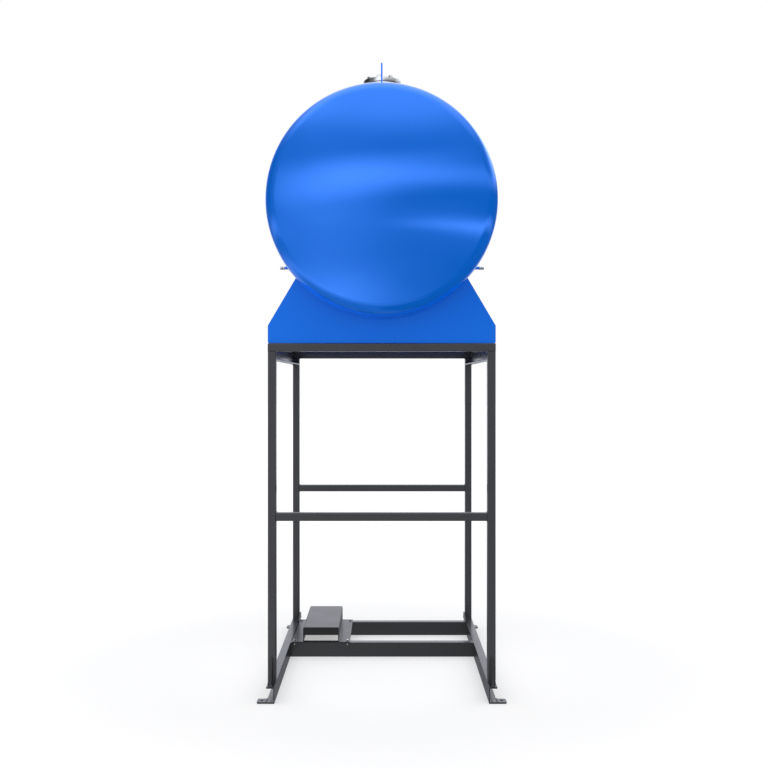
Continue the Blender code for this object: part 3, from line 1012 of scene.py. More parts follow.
@dataclass
class PumpShelf:
    """The folded sheet shelf on the two floor beams, with its bolts."""

    # The shelf's darker grey, which is painted shade.
    finish: Finish
    bolt_finish: Finish
    sheet: float = 0.004
    bend: float = 0.008
    flange: float = 0.063
    lip: float = 0.042
    relief: float = 0.0015
    level_slack: float = 0.00015
    edge: float = 0.0005
    bolt_inset: float = 0.0145
    screw_drop: float = 0.0105
    screw_radius: float = 0.0045
    screw_line: tuple[tuple[float, float], ...] = ((0, 0), (1, 0), (1, 0.3), (0.7, 0.62), (0, 0.7))
    screw_steps: int = 24

    def tray(self) -> bpy.types.Object:
        """Makes the folded sheet and returns it."""
        low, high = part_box("pump_shelf")
        left, right = low.x + self.flange, high.x - self.flange
        top, foot = high.z, low.z
        thick = self.sheet
        outline = ((high.x, foot), (high.x, foot + thick), (right, foot + thick), (right, top),
                   (left, top), (left, foot + thick), (low.x, foot + thick), (low.x, foot),
                   (left + thick, foot), (left + thick, top - thick), (right - thick, top - thick),
                   (right - thick, foot))
        inner = self.bend - thick
        rounding = {2: inner, 3: self.bend, 4: self.bend, 5: inner, 8: self.bend, 9: inner,
                    10: inner, 11: self.bend}
        corners = [Vector((across, low.y, up)) for across, up in outline]
        tray = Solid.prism(corners, Axis.Y.unit * (high.y - low.y), rounding)
        for start in (low.y, high.y - thick):
            lip = Solid.box((left + thick + self.relief, start, top - self.lip),
                            (right - thick - self.relief, start + thick, top - thick / 2))
            tray = tray.combined(lip, Combining.ADD)
        self._round_ends(tray, low.y, high.y, top)
        return place_piece(tray.soften(self.edge, 1), "pump_shelf_tray", self.finish, "pump_shelf")

    def _round_ends(self, tray: Solid, front: float, rear: float, top: float) -> None:
        """Rounds the bends over the two lips.

        Args:
            tray: The folded sheet.
            front: Where its front end lies along Y.
            rear: Where its rear end lies.
            top: Height of its top face.
        """
        def on_end(vert: bmesh.types.BMVert) -> bool:
            at_end = min(abs(vert.co.y - front), abs(vert.co.y - rear)) < self.relief
            return at_end and abs(vert.co.z - top) < self.level_slack

        edges = [edge for edge in tray.form.edges
                 if all(on_end(vert) for vert in edge.verts) and edge.calc_face_angle(0) > SHARP_EDGE]
        tray.bevel(edges, self.sheet, CORNER_STEPS)

    def bolts(self) -> bpy.types.Object:
        """Makes the bolts through the flanges and the screws in the beam and returns them."""
        low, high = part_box("pump_shelf")
        rest = low.z + self.sheet
        centres = []
        for beam in ("base_beam_middle", "base_beam_rear"):
            beam_low, beam_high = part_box(beam)
            along = (beam_low.y + beam_high.y) / 2
            centres += [(low.x + self.bolt_inset, along), (high.x - self.bolt_inset, along)]
        everything = Solid()
        for across, along in centres:
            everything.joined(SHELF_BOLT.made().placed(Matrix.Translation((across, along, rest))))
        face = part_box("base_beam_middle")[0].y
        profile = [(self.screw_radius * out, self.screw_radius * up) for out, up in self.screw_line]
        for across in (low.x + self.bolt_inset, high.x - self.bolt_inset):
            centre = (across, face, low.z - self.screw_drop)
            placing = Matrix.Translation(centre) @ Matrix.Rotation(RIGHT_ANGLE, 4, "X")
            everything.joined(Solid.turned(profile, placing, self.screw_steps))
        return place_piece(everything, "pump_shelf_bolts", self.bolt_finish)

    def build(self) -> list[bpy.types.Object]:
        """Builds the shelf and its bolts and returns them."""
        return [self.tray(), self.bolts()]


@dataclass
class StandWelds:
    """The weld beads that hold the stand together."""

    finish: Finish
    # The floor-level beads take the darker grey, which is painted shade.
    shaded_low_finish: Finish
    radius: float = 0.0030
    small: float = 0.0024
    plate_thick: float = 0.008
    foot_gap: float = 0.004
    seams: list[tuple[Vector, Vector, float]] = field(default_factory=list)

    def seam(self, start: Sequence[float], end: Sequence[float], radius: float) -> None:
        """Notes a straight weld.

        Args:
            start: Where it starts.
            end: Where it ends.
            radius: Radius of its bead.
        """
        self.seams.append((Vector(start), Vector(end), radius))

    def frame_seams(self) -> None:
        """Notes the welds of the posts, bars, beams and channels."""
        for end in End:
            for flank in Flank:
                low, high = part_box(f"post_{end.word}_{flank.word}")
                inner = low.x if flank is Flank.RIGHT else high.x
                for level in (high.z, *(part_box(f"crossbar_{end.word}")[i].z for i in range(2))):
                    self.seam((inner, low.y, level), (inner, high.y, level), self.radius)
                for along in (low.y, high.y):
                    self.seam((low.x, along, low.z), (high.x, along, low.z), self.radius)
                inside = high.y if end is End.FRONT else low.y
                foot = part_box(f"top_channel_{flank.word}")[0].z
                self.seam((low.x, inside, foot), (high.x, inside, foot), self.radius)

    def plate_seams(self) -> None:
        """Notes the welds of the floor beams, gussets, braces and feet."""
        for node in ("base_beam_middle", "base_beam_rear"):
            low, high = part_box(node)
            for across in (low.x, high.x):
                self.seam((across, low.y, low.z + self.foot_gap), (across, low.y, high.z), self.radius)
        for flank in Flank:
            for end in End:
                low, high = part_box(f"post_gusset_{end.word}_{flank.word}")
                near = high.y if end is End.FRONT else low.y
                for across in (low.x, high.x):
                    self.seam((across, low.y, low.z), (across, high.y, low.z), self.small)
                    self.seam((across, near, low.z), (across, near, high.z - self.plate_thick), self.small)
                low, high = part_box(f"anchor_foot_{end.word}_{flank.word}")
                inner = low.x if flank is Flank.RIGHT else high.x
                self.seam((inner, low.y, high.z), (inner, high.y, high.z), self.small)
            low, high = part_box(f"post_brace_{flank.word}")
            face = low.x if flank is Flank.RIGHT else high.x
            self.seam((face, low.y, low.z), (face, high.y, low.z), self.small)

    def laid(self, name: str, finish: Finish) -> bpy.types.Object:
        """Lays the beads noted so far as one piece.

        Args:
            name: The piece's name.
            finish: What it is finished with.

        Returns:
            The piece.
        """
        beads = [Solid.bead(ripples(start, end), radius) for start, end, radius in self.seams]
        self.seams.clear()
        return place_piece(Solid().joined(*beads), name, finish)

    def build(self) -> list[bpy.types.Object]:
        """Lays the beads of the frame and of the floor level and returns them."""
        self.frame_seams()
        upper = self.laid("stand_weld_beads", self.finish)
        self.plate_seams()
        return [upper, self.laid("floor_weld_beads", self.shaded_low_finish)]


@dataclass
class Tank:
    """The welded tank: its shell, dished ends, seams, and the fittings' mating curve."""

    finish: Finish
    wall: float = 0.004
    knuckle: float = 0.080
    crown: float = 1.600
    segments: int = 256
    knuckle_steps: int = 28
    crown_steps: int = 36
    bore_steps: int = 48
    bead: float = 0.0032
    seam_angle: float = math.radians(58)
    skirt: float = 0.020
    fitting_share: float = 0.9

    def __post_init__(self) -> None:
        """Reads the tank's place from the frame."""
        low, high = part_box("tank_shell")
        self.radius = box_radius("tank_shell")
        self.fitting_root = self.radius * self.fitting_share
        self.axis_z = (high.z + low.z) / 2
        self.half_length = high.y
        self.rim = self.half_length + self.skirt

    def along_y(self, end: End = End.REAR) -> Matrix:
        """The placing that stands a turned shape on the tank's axis.

        Args:
            end: The way that the shape's own Z then points.

        Returns:
            The matrix.
        """
        return Matrix.Translation((0, 0, self.axis_z)) @ Matrix.Rotation(-end.value * RIGHT_ANGLE, 4, "X")

    def height_at(self, across: float) -> float:
        """How far the shell's surface lies above or below its axis at a distance from the middle."""
        return math.sqrt(self.radius ** 2 - across ** 2)

    def core(self) -> Solid:
        """Makes a full cylinder of the shell's size, for cutting other pieces, and returns it."""
        ends = [Vector((0, way * self.rim, self.axis_z)) for way in (-1, 1)]
        return Solid.rod(*ends, self.radius, self.segments)

    def shell(self) -> bpy.types.Object:
        """Makes the rolled shell with its two bores and returns it."""
        outer, inner, half = self.radius, self.radius - self.wall, self.half_length
        tube = Solid.turned(((outer, -half), (outer, half), (inner, half), (inner, -half)),
                            self.along_y(), self.segments)
        for node, way in (("inlet_neck", 1), ("drain_socket", -1)):
            reach = Vector((0, 0, self.axis_z + way * (self.radius + self.knuckle)))
            bore = box_radius(node) - self.wall
            tube = tube.combined(Solid.rod(Vector((0, 0, self.axis_z)), reach, bore, self.bore_steps))
        return place_piece(tube, "tank_shell_plate", self.finish, "tank_shell")

    def head_profile(self, radius: float, knuckle: float, crown: float) -> list[tuple[float, float]]:
        """Finds a dished end's line from its rim to its pole.

        Args:
            radius: Radius at the rim.
            knuckle: Radius of the knuckle.
            crown: Radius of the dish.

        Returns:
            Radius and height of each point.
        """
        reach = crown - knuckle
        tilt = math.asin((radius - knuckle) / reach)
        pole = crown - reach * math.cos(tilt)
        points = []
        for step in range(self.knuckle_steps + 1):
            turn = (RIGHT_ANGLE - tilt) * step / self.knuckle_steps
            points.append((radius - knuckle + knuckle * math.cos(turn), knuckle * math.sin(turn)))
        for step in range(1, self.crown_steps):
            turn = tilt * (1 - step / self.crown_steps)
            points.append((crown * math.sin(turn), pole - crown * (1 - math.cos(turn))))
        return [*points, (0.0, pole)]

    def head(self, end: End) -> bpy.types.Object:
        """Makes a dished end with its short skirt.

        Args:
            end: Which end of the tank.

        Returns:
            The dished end.
        """
        outside = self.head_profile(self.radius, self.knuckle, self.crown)
        inside = self.head_profile(self.radius - self.wall, self.knuckle - self.wall, self.crown - self.wall)
        skirt = ((self.radius, -self.skirt), (self.radius - self.wall, -self.skirt))
        line = [*reversed(outside), *skirt, *inside]
        profile = [(radius, self.rim + height) for radius, height in line]
        dish = Solid.turned(profile, self.along_y(end), self.segments)
        node = f"tank_head_{end.word}"
        return place_piece(dish, f"{node}_dish", self.finish, node)

    def seams(self) -> bpy.types.Object:
        """Lays the round seams at the dished ends and the long seam of the shell, and returns them."""
        centre = Vector((0, 0, self.axis_z))
        sunk = self.bead / 2
        beads = []
        for end in End:
            middle = centre + Axis.Y.unit * end.value * self.half_length
            path = ring(middle, self.radius, (Axis.X.unit, Axis.Z.unit), sunk)
            beads.append(Solid.bead(path, self.bead, looped=True))
        outwards = math.sin(self.seam_angle) * Axis.X.unit + math.cos(self.seam_angle) * Axis.Z.unit
        side = centre + (self.radius - sunk) * outwards
        reach = Axis.Y.unit * (self.half_length - self.bead)
        beads.append(Solid.bead(ripples(side - reach, side + reach), self.bead))
        return place_piece(Solid().joined(*beads), "tank_seam_beads", self.finish)

    def collar(self, radius: float, turn: Matrix, bead: float) -> Solid:
        """Lays a bead where a round pipe meets the shell.

        Args:
            radius: The pipe's radius.
            turn: Turns a pipe that points up from the axis to where it leaves the shell.
            bead: Radius of the bead.

        Returns:
            The bead.
        """
        circle = ring(Vector(), radius, (Axis.X.unit, Axis.Y.unit))
        path = [turn @ Vector((point.x, point.y, self.height_at(point.x))) for point in circle]
        return Solid.bead(path, bead, looped=True)

    def build(self) -> list[bpy.types.Object]:
        """Builds the shell, the ends and the seams and returns them."""
        return [self.shell(), *(self.head(end) for end in End), self.seams()]


@dataclass
class Saddles:
    """The saddle plates, and behind each a foot strip with ribs."""

    # The brighter copy of the tank's blue, which is painted light.
    finish: Finish
    tank: Tank
    chamfer: float = 0.005
    shoulder_z: float = 1.819
    horn_x: float = 0.4195
    edge: float = 0.0010
    rib_thick: float = 0.008
    rib_depth: float = 0.072
    strip_thick: float = 0.008
    rib_places: tuple[float, ...] = (-0.5, -0.3, -0.1, 0.1, 0.3, 0.5)
    outer_rib_top: float = 1.886
    arc_steps: int = 96
    rib_bead: float = 0.0024
    bead_sink: float = 0.0030
    seat_bead: float = 0.0020

    def plate(self, end: End) -> bpy.types.Object:
        """Makes a saddle plate with the shell's arc in its top edge.

        Args:
            end: Which end of the tank it carries.

        Returns:
            The plate.
        """
        node = f"saddle_{end.word}"
        low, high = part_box(node)
        centre = Vector((0, low.y, self.tank.axis_z))
        lean = math.asin(self.horn_x / self.tank.radius)
        seat = arc(centre, self.tank.radius, lean, -lean, self.arc_steps, (-Axis.Z.unit, Axis.X.unit))
        right = [(high.x - self.chamfer, low.z), (high.x, low.z + self.chamfer), (high.x, self.shoulder_z)]
        corners = [Vector((across, low.y, up)) for across, up in right]
        mirrored = [Vector((-corner.x, corner.y, corner.z)) for corner in reversed(corners)]
        plate = Solid.prism([*corners, *seat, *mirrored], Axis.Y.unit * (high.y - low.y))
        return place_piece(plate.soften(self.edge), f"{node}_plate", self.finish, node)

    def ribs(self, end: End) -> bpy.types.Object:
        """Makes the foot strip and the ribs between the saddle plate and the shell.

        Args:
            end: Which end of the tank.

        Returns:
            The strip and ribs as one piece.
        """
        node = f"saddle_ribs_{end.word}"
        low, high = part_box(node)
        strip = Solid.box(low, (high.x, high.y, low.z + self.strip_thick)).soften(self.edge)
        near = low.y if end is End.FRONT else high.y - self.rib_depth
        far = near + self.rib_depth
        parts = []
        for across in self.rib_places:
            outer = abs(across) == max(self.rib_places)
            top = self.outer_rib_top if outer else self.tank.axis_z - self.tank.radius / 2
            rib = Solid.box((across - self.rib_thick / 2, near, low.z + self.strip_thick),
                            (across + self.rib_thick / 2, far, top))
            if not outer:
                rib = rib.combined(self.tank.core())
            parts.append(rib.soften(self.edge))
        return place_piece(strip.joined(*parts), f"{node}_web", self.finish, node)

    def welds(self) -> bpy.types.Object:
        """Lays the beads of the saddles and their ribs and returns them."""
        beads = []
        lean = math.asin(self.horn_x / self.tank.radius)
        steps = round(2 * lean * self.tank.radius / BEAD_PITCH)
        for end in End:
            low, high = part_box(f"saddle_{end.word}")
            for along in (low.y, high.y):
                centre = Vector((0, along, self.tank.axis_z))
                path = arc(centre, self.tank.radius, -lean, lean, steps, (-Axis.Z.unit, Axis.X.unit))
                beads.append(Solid.bead(path, self.seat_bead))
            inner = high.y if end is End.FRONT else low.y
            rib_end = inner - end.value * self.rib_depth
            foot = low.z + self.strip_thick
            for across in self.rib_places:
                outer = abs(across) == max(self.rib_places)
                top = self.outer_rib_top if outer else self.tank.axis_z - self.tank.height_at(across)
                for side in (across - self.rib_thick / 2, across + self.rib_thick / 2):
                    corner = Vector((side, inner, foot))
                    for tip in ((side, inner, top - self.bead_sink), (side, rib_end, foot)):
                        beads.append(Solid.bead(ripples(corner, tip), self.rib_bead))
        return place_piece(Solid().joined(*beads), "saddle_weld_beads", self.finish)

    def build(self) -> list[bpy.types.Object]:
        """Builds the saddle plates, ribs and welds and returns them."""
        pieces = []
        for end in End:
            pieces += [self.plate(end), self.ribs(end)]
        return [*pieces, self.welds()]


@dataclass
class LiftingLugs:
    """The two lifting lugs on top of the tank."""

    finish: Finish
    tank: Tank
    head_radius: float = 0.036
    eye: float = 0.036
    edge: float = 0.0012
    bead: float = 0.0035
    round_steps: int = 40

    def lug(self, end: End) -> bpy.types.Object:
        """Makes a tapered plate with a round head and an eye.

        Args:
            end: Which end of the tank.

        Returns:
            The lug.
        """
        node = f"lifting_lug_{end.word}"
        low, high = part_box(node)
        middle = (low.y + high.y) / 2
        half = (high.y - low.y) / 2
        head_z = high.z - self.head_radius
        slant = math.hypot(half, head_z - low.z)
        lean = math.atan2(head_z - low.z, half) - math.asin(self.head_radius / slant)
        first = RIGHT_ANGLE - lean
        centre = Vector((low.x, middle, head_z))
        top = arc(centre, self.head_radius, first, -first, self.round_steps, (Axis.Z.unit, Axis.Y.unit))
        corners = [Vector((low.x, middle - half, low.z)), Vector((low.x, middle + half, low.z)), *top]
        plate = Solid.prism(corners, Axis.X.unit * (high.x - low.x))
        reach = Axis.X.unit * self.eye
        plate = plate.combined(Solid.rod(centre - reach, centre + reach, self.eye / 2, self.round_steps))
        return place_piece(plate.soften(self.edge), f"{node}_plate", self.finish, node)

    def welds(self) -> bpy.types.Object:
        """Lays the beads along both sides of both lugs and returns them."""
        beads = []
        for end in End:
            low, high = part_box(f"lifting_lug_{end.word}")
            for across in (low.x, high.x):
                start = Vector((across, low.y, self.tank.axis_z + self.tank.radius))
                beads.append(Solid.bead(ripples(start, start + Axis.Y.unit * (high.y - low.y)), self.bead))
        return place_piece(Solid().joined(*beads), "lug_weld_beads", self.finish)

    def build(self) -> list[bpy.types.Object]:
        """Builds the lugs and their welds and returns them."""
        return [*(self.lug(end) for end in End), self.welds()]


@dataclass
class Inlet:
    """The inlet on top: a neck, a flange, a gasket and a bolted blind cover."""

    paint: Finish
    turned: Finish
    plated: Finish
    rubber: Finish
    tank: Tank
    wall: float = 0.004
    bolt_circle: float = 0.170
    bolt_count: int = 8
    first_angle: float = math.radians(11)
    nut_turn: float = 0.7
    cover_edge: float = 0.003
    flange_edge: float = 0.0015
    foot_bead: float = 0.0035
    rim_bead: float = 0.003
    steps: int = 96

    def neck(self) -> bpy.types.Object:
        """Makes the neck with its foot cut to the shell and returns it."""
        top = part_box("inlet_neck")[1].z
        radius = box_radius("inlet_neck")
        start = self.tank.axis_z + self.tank.fitting_root
        profile = ((radius, start), (radius, top), (radius - self.wall, top), (radius - self.wall, start))
        pipe = Solid.turned(profile, Matrix(), self.steps).combined(self.tank.core())
        collar = self.tank.collar(radius, Matrix.Translation((0, 0, self.tank.axis_z)), self.foot_bead)
        rim = ring(Vector((0, 0, top)), radius, (Axis.X.unit, Axis.Y.unit))
        pipe.joined(collar, Solid.bead(rim, self.rim_bead, looped=True))
        return place_piece(pipe, "inlet_neck_pipe", self.paint, "inlet_neck")

    def disc(self, node: str, bore: float, edge: float) -> Solid:
        """Turns a flat ring or disc in a node's place.

        Args:
            node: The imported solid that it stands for.
            bore: Radius of its hole, or 0.
            edge: Rounding of its rims.

        Returns:
            The disc.
        """
        low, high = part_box(node)
        radius = box_radius(node)
        profile = ((bore, low.z), (radius, low.z), (radius, high.z), (bore, high.z))
        solid = Solid.turned(profile, Matrix(), self.steps)
        return solid.soften(edge) if edge else solid

    def bolt_places(self) -> list[tuple[float, float]]:
        """Finds the bolts' centres, counted from +X towards the front, and returns them."""
        count = self.bolt_count
        turns = [self.first_angle + FULL_TURN * number / count for number in range(count)]
        reach = self.bolt_circle / 2
        return [(reach * math.cos(turn), -reach * math.sin(turn)) for turn in turns]

    def build(self) -> list[bpy.types.Object]:
        """Builds the neck, flange, gasket, cover and bolts and returns them."""
        bore = box_radius("inlet_neck") - self.wall
        flange = self.disc("inlet_flange", bore, self.flange_edge)
        gasket = self.disc("inlet_gasket", bore, 0.0)
        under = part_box("inlet_flange")[0].z
        cover_low, cover_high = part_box("inlet_cover")
        radius = box_radius("inlet_cover")
        low, top = cover_low.z, cover_high.z - COVER_NUT.stud_height
        edge = self.cover_edge
        middle = Vector((radius - edge, 0, top - edge))
        rim = arc(middle, edge, 0.0, RIGHT_ANGLE, CORNER_STEPS, (Axis.X.unit, Axis.Z.unit))
        profile = ((0, low), (radius - edge / 3, low), (radius, low + edge / 3),
                   *((point.x, point.z) for point in rim), (0, top))
        cover = Solid.turned(profile, Matrix(), self.steps)
        bolts = Solid()
        flip = Matrix.Rotation(math.pi, 4, "X")
        for number, (across, along) in enumerate(self.bolt_places()):
            turn = Matrix.Rotation(number * self.nut_turn, 4, "Z")
            for fastener, level, way in ((COVER_NUT, top, Matrix()), (FLANGE_BOLT, under, flip)):
                bolts.joined(fastener.made().placed(Matrix.Translation((across, along, level)) @ way @ turn))
        return [self.neck(),
                place_piece(flange, "inlet_flange_ring", self.turned, "inlet_flange"),
                place_piece(gasket, "inlet_gasket_ring", self.rubber, "inlet_gasket"),
                place_piece(cover, "inlet_cover_disc", self.turned, "inlet_cover"),
                place_piece(bolts, "inlet_bolts", self.plated)]


@dataclass
class SmallFittings:
    """The capped bosses on the sides and the plugged drain below."""

    paint: Finish
    plated: Finish
    tank: Tank
    steps: int = 40
    fine_steps: int = 64
    plug_steps: int = 48
    bead: float = 0.0022
    drain_bead: float = 0.0032
    boss_root: float = 0.8
    boss_edge: float = 0.0006
    cap_line: tuple[tuple[float, float], ...] = (
        (0, 0), (1, 0), (1, 0.3), (0.86, 0.345), (0.86, 0.48), (0.97, 0.525))
    cap_chamfer: float = 0.0015
    cap_face: float = 0.8
    drain_wall: float = 0.006
    drain_edge: float = 0.0008
    plug_gap: float = 0.0003
    plug_flats: float = 0.056

    def boss(self, flank: Flank) -> bpy.types.Object:
        """Makes the bar that stands out of the tank's side.

        Args:
            flank: The side of the tank.

        Returns:
            The boss.
        """
        node = f"side_boss_{flank.word}"
        low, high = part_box(node)
        radius = (high.z - low.z) / 2
        root = Axis.X.unit * flank.value * self.tank.radius * self.boss_root
        tip = Axis.X.unit * max(low.x, high.x, key=abs)
        middle = Axis.Z.unit * (low.z + high.z) / 2
        bar = Solid.rod(middle + root, middle + tip, radius, self.steps).combined(self.tank.core())
        bar.soften(self.boss_edge)
        meeting = []
        for point in ring(middle, radius, (Axis.Y.unit, Axis.Z.unit)):
            reach = self.tank.height_at(point.z - self.tank.axis_z)
            meeting.append(Vector((flank.value * reach, point.y, point.z)))
        bar.joined(Solid.bead(meeting, self.bead, looped=True))
        return place_piece(bar, f"{node}_stub", self.paint, node)

    def cap(self, flank: Flank) -> bpy.types.Object:
        """Makes the cap on a boss.

        Args:
            flank: The side of the tank.

        Returns:
            The cap.
        """
        node = f"side_cap_{flank.word}"
        low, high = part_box(node)
        start, end = sorted((low.x, high.x), key=abs)
        radius = (high.z - low.z) / 2
        length = abs(end - start)
        rim = radius * self.cap_line[-1][0]
        profile = [*((radius * out, length * along) for out, along in self.cap_line),
                   (rim, length - self.cap_chamfer), (radius * self.cap_face, length), (0, length)]
        turn = Matrix.Rotation(flank.value * RIGHT_ANGLE, 4, "Y")
        placing = Matrix.Translation((start, 0, (low.z + high.z) / 2)) @ turn
        return place_piece(Solid.turned(profile, placing, self.steps), f"{node}_screw", self.plated, node)

    def drain(self) -> list[bpy.types.Object]:
        """Makes the drain socket and its plug and returns them."""
        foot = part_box("drain_socket")[0].z
        radius = box_radius("drain_socket")
        bore = radius - self.drain_wall
        top = self.tank.axis_z - self.tank.fitting_root
        profile = ((radius, foot), (radius, top), (bore, top), (bore, foot))
        socket = Solid.turned(profile, Matrix(), self.fine_steps).combined(self.tank.core())
        socket.soften(self.drain_edge)
        turn = Matrix.Translation((0, 0, self.tank.axis_z)) @ Matrix.Rotation(math.pi, 4, "X")
        socket.joined(self.tank.collar(radius, turn, self.drain_bead))
        low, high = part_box("drain_plug")
        head = Fastener(flats=self.plug_flats, height=foot - low.z, stud=0.0, stud_height=0.0, washer=0.0,
                        washer_thick=0.0)
        plug = head.head().placed(Matrix.Translation((0, 0, low.z)))
        shank = Solid.rod(Vector((0, 0, foot)), Vector((0, 0, high.z)), bore - self.plug_gap,
                          self.plug_steps)
        return [place_piece(socket, "drain_socket_pipe", self.paint, "drain_socket"),
                place_piece(plug.joined(shank), "drain_plug_screw", self.plated, "drain_plug")]

    def build(self) -> list[bpy.types.Object]:
        """Builds the bosses, caps and drain and returns them."""
        pieces = []
        for flank in Flank:
            pieces += [self.boss(flank), self.cap(flank)]
        return pieces + self.drain()


@dataclass(frozen=True)
class Softbox:
    """A soft patch of light in the surround, or a flag that takes light away, in degrees.

    Azimuth 0 looks from the object towards -Y and grows towards +X. The tilt is how far the
    patch climbs for each degree of azimuth.
    """

    azimuth: float
    elevation: float
    half_width: float
    half_height: float
    side_feather: float
    edge_feather: float
    strength: float
    tilt: float = 0.0


@dataclass
class Studio:
    """A pale floor, a soft surround and the camera."""

    camera_place: Vector = field(default_factory=lambda: Vector((0.011, -4.838, 1.5335)))
    lens: float = 40.78
    sensor: float = 36.0
    clip_share: float = 4.0
    floor_half: float = 60.0
    floor_drop: float = 0.0004
    floor_glow: float = 0.45
    floor_shade: float = 0.56
    # Painted shade: a faint darker oval ring is painted into the floor's glow round the object.
    floor_ring_shade: float = 0.06
    ring_shift: float = 0.07
    ring_stretch: tuple[float, float, float] = (0.69, 1.04, 1.0)
    ring_inside: tuple[float, float] = (0.4, 1.0)
    ring_outside: tuple[float, float] = (1.0, 1.9)
    front_light: float = 0.712
    sky_light: float = 1.125
    sky_start: float = 34.7
    sky_end: float = 47.8
    zenith_light: float = 0.535
    zenith_start: float = 40.6
    zenith_end: float = 82.1
    ground_light: float = -0.477
    ground_start: float = -26.4
    ground_end: float = -43.1
    least_light: float = 0.05
    behind_low: float = 0.23
    behind_level: float = 1.0
    behind_high: float = 1.34
    behind_rise: tuple[float, float] = (-16.0, -3.0)
    behind_crest: tuple[float, float] = (5.0, 13.0)
    behind_centre: float = 4.0
    behind_edge: tuple[float, float] = (132.0, 165.0)
    behind_tint: tuple[float, float, float, float] = (0.985, 1.01, 1.10, 1.0)
    side_edge: tuple[float, float] = (100.0, 122.0)
    side_tint: tuple[float, float, float, float] = (0.884, 1.0, 1.2, 1.0)
    matt_low: float = 0.9
    matt_high: float = 1.2
    softboxes: tuple[Softbox, ...] = (
        Softbox(-4.0, 19.4, 0.9, 1.4, 58.2, 9.8, 1.12, 0.093),
        Softbox(51.9, 19.4, 2.5, 0.2, 94.6, 5.7, 0.61, -0.001),
        Softbox(32.0, 0.4, 7.0, 0.0, 34.1, 3.0, 0.56, -0.005),
        Softbox(63.3, -1.3, 4.4, 0.0, 64.0, 5.7, 1.10, -0.055),
        Softbox(1.4, 4.4, 38.9, 2.7, 10.0, 11.2, 0.17, -0.161),
        Softbox(-22.6, -25.9, 0.2, 0.3, 36.0, 16.7, 0.70, -0.009),
        Softbox(-17.5, 5.7, 5.6, 13.3, 30.9, 12.6, 0.24, 0.226),
        Softbox(59.6, 24.3, 51.1, 7.7, 35.4, 23.9, -0.50, 0.192),
        Softbox(-80.1, -3.9, 5.5, 0.0, 47.7, 8.4, 0.70, 0.058),
        Softbox(-118.8, 19.3, 10.8, 29.3, 186.4, 15.3, -0.57, -0.166),
        Softbox(142.8, 29.7, 11.7, 1.6, 57.3, 13.9, 1.85, 0.102),
        Softbox(86.5, -34.6, 30.5, 36.7, 79.1, 24.9, -0.64, 0.249),
        Softbox(-4.0, -42.1, 43.3, 0.1, 61.4, 24.5, 0.48, -0.139),
        Softbox(-66.2, 53.0, 21.8, 2.2, 29.2, 14.8, 0.36, -0.239),
        Softbox(-98.0, 19.0, 12.0, 8.0, 14.0, 10.0, -0.11),
    )

    def camera(self) -> None:
        """Places the camera level, looking along +Y."""
        data = bpy.data.cameras.new("camera")
        data.lens = self.lens
        data.sensor_width = self.sensor
        data.clip_end = self.floor_half * self.clip_share
        camera = bpy.data.objects.new("camera", data)
        camera.location = self.camera_place
        camera.rotation_euler = (RIGHT_ANGLE, 0.0, 0.0)
        bpy.context.scene.collection.objects.link(camera)
        bpy.context.scene.camera = camera

    def floor(self) -> None:
        """Lays a wide pale floor that only the camera sees, bright enough to keep shadows faint, with a
        faint darker oval ring painted into its glow as painted shade.
        """
        form = Solid()
        bmesh.ops.create_grid(form.form, x_segments=1, y_segments=1, size=self.floor_half)
        floor = bpy.data.objects.new("studio_floor", form.mesh("studio_floor"))
        floor.location.z = -self.floor_drop
        floor.visible_glossy = False
        floor.visible_diffuse = False
        material = bpy.data.materials.new("studio_floor")
        material.use_nodes = True
        graph = Graph(material.node_tree)
        shader = material.node_tree.nodes["Principled BSDF"]
        place = graph.node("ShaderNodeTexCoord").outputs["Object"]
        rim = graph.fed("ShaderNodeMapping", {"Vector": place, "Location": (0.0, self.ring_shift, 0.0)})
        oval = graph.fed("ShaderNodeVectorMath", {0: rim.outputs[0], 1: self.ring_stretch},
                         operation="MULTIPLY")
        reach = graph.fed("ShaderNodeVectorMath", {0: oval.outputs[0]}, operation="LENGTH").outputs["Value"]
        # Painted shade: the glow dips in an oval ring round the object.
        inside, outside = (graph.ramp(reach, *span, 0.0, self.floor_ring_shade)
                           for span in (self.ring_inside, self.ring_outside))
        glow = graph.math("SUBTRACT", self.floor_glow, graph.math("SUBTRACT", inside, outside))
        looks = {"Emission Color": WHITE, "Emission Strength": glow, "Roughness": 1.0,
                 "Base Color": (*(self.floor_shade,) * 3, 1.0), "Specular IOR Level": 0.0}
        for name, value in looks.items():
            graph.feed(shader.inputs[name], value)
        floor.data.materials.append(material)
        bpy.context.scene.collection.objects.link(floor)

    def _patch(self, graph: Graph, box: Softbox, azimuth: bpy.types.NodeSocket,
               elevation: bpy.types.NodeSocket) -> bpy.types.NodeSocket:
        """Works out one softbox's light.

        Args:
            graph: The world's graph.
            box: The softbox.
            azimuth: The ray's azimuth in degrees.
            elevation: The ray's elevation in degrees.

        Returns:
            The light that it adds.
        """
        off_side = graph.math("ABSOLUTE", graph.math("SUBTRACT", azimuth, box.azimuth))
        height = graph.math("SUBTRACT", elevation, box.elevation - box.tilt * box.azimuth)
        off_level = graph.math("ABSOLUTE", graph.math("MULTIPLY_ADD", azimuth, -box.tilt, height))
        side = graph.ramp(off_side, box.half_width, box.half_width + box.side_feather, box.strength, 0.0)
        level = graph.ramp(off_level, box.half_height, box.half_height + box.edge_feather, 1.0, 0.0)
        return graph.math("MULTIPLY", side, level)

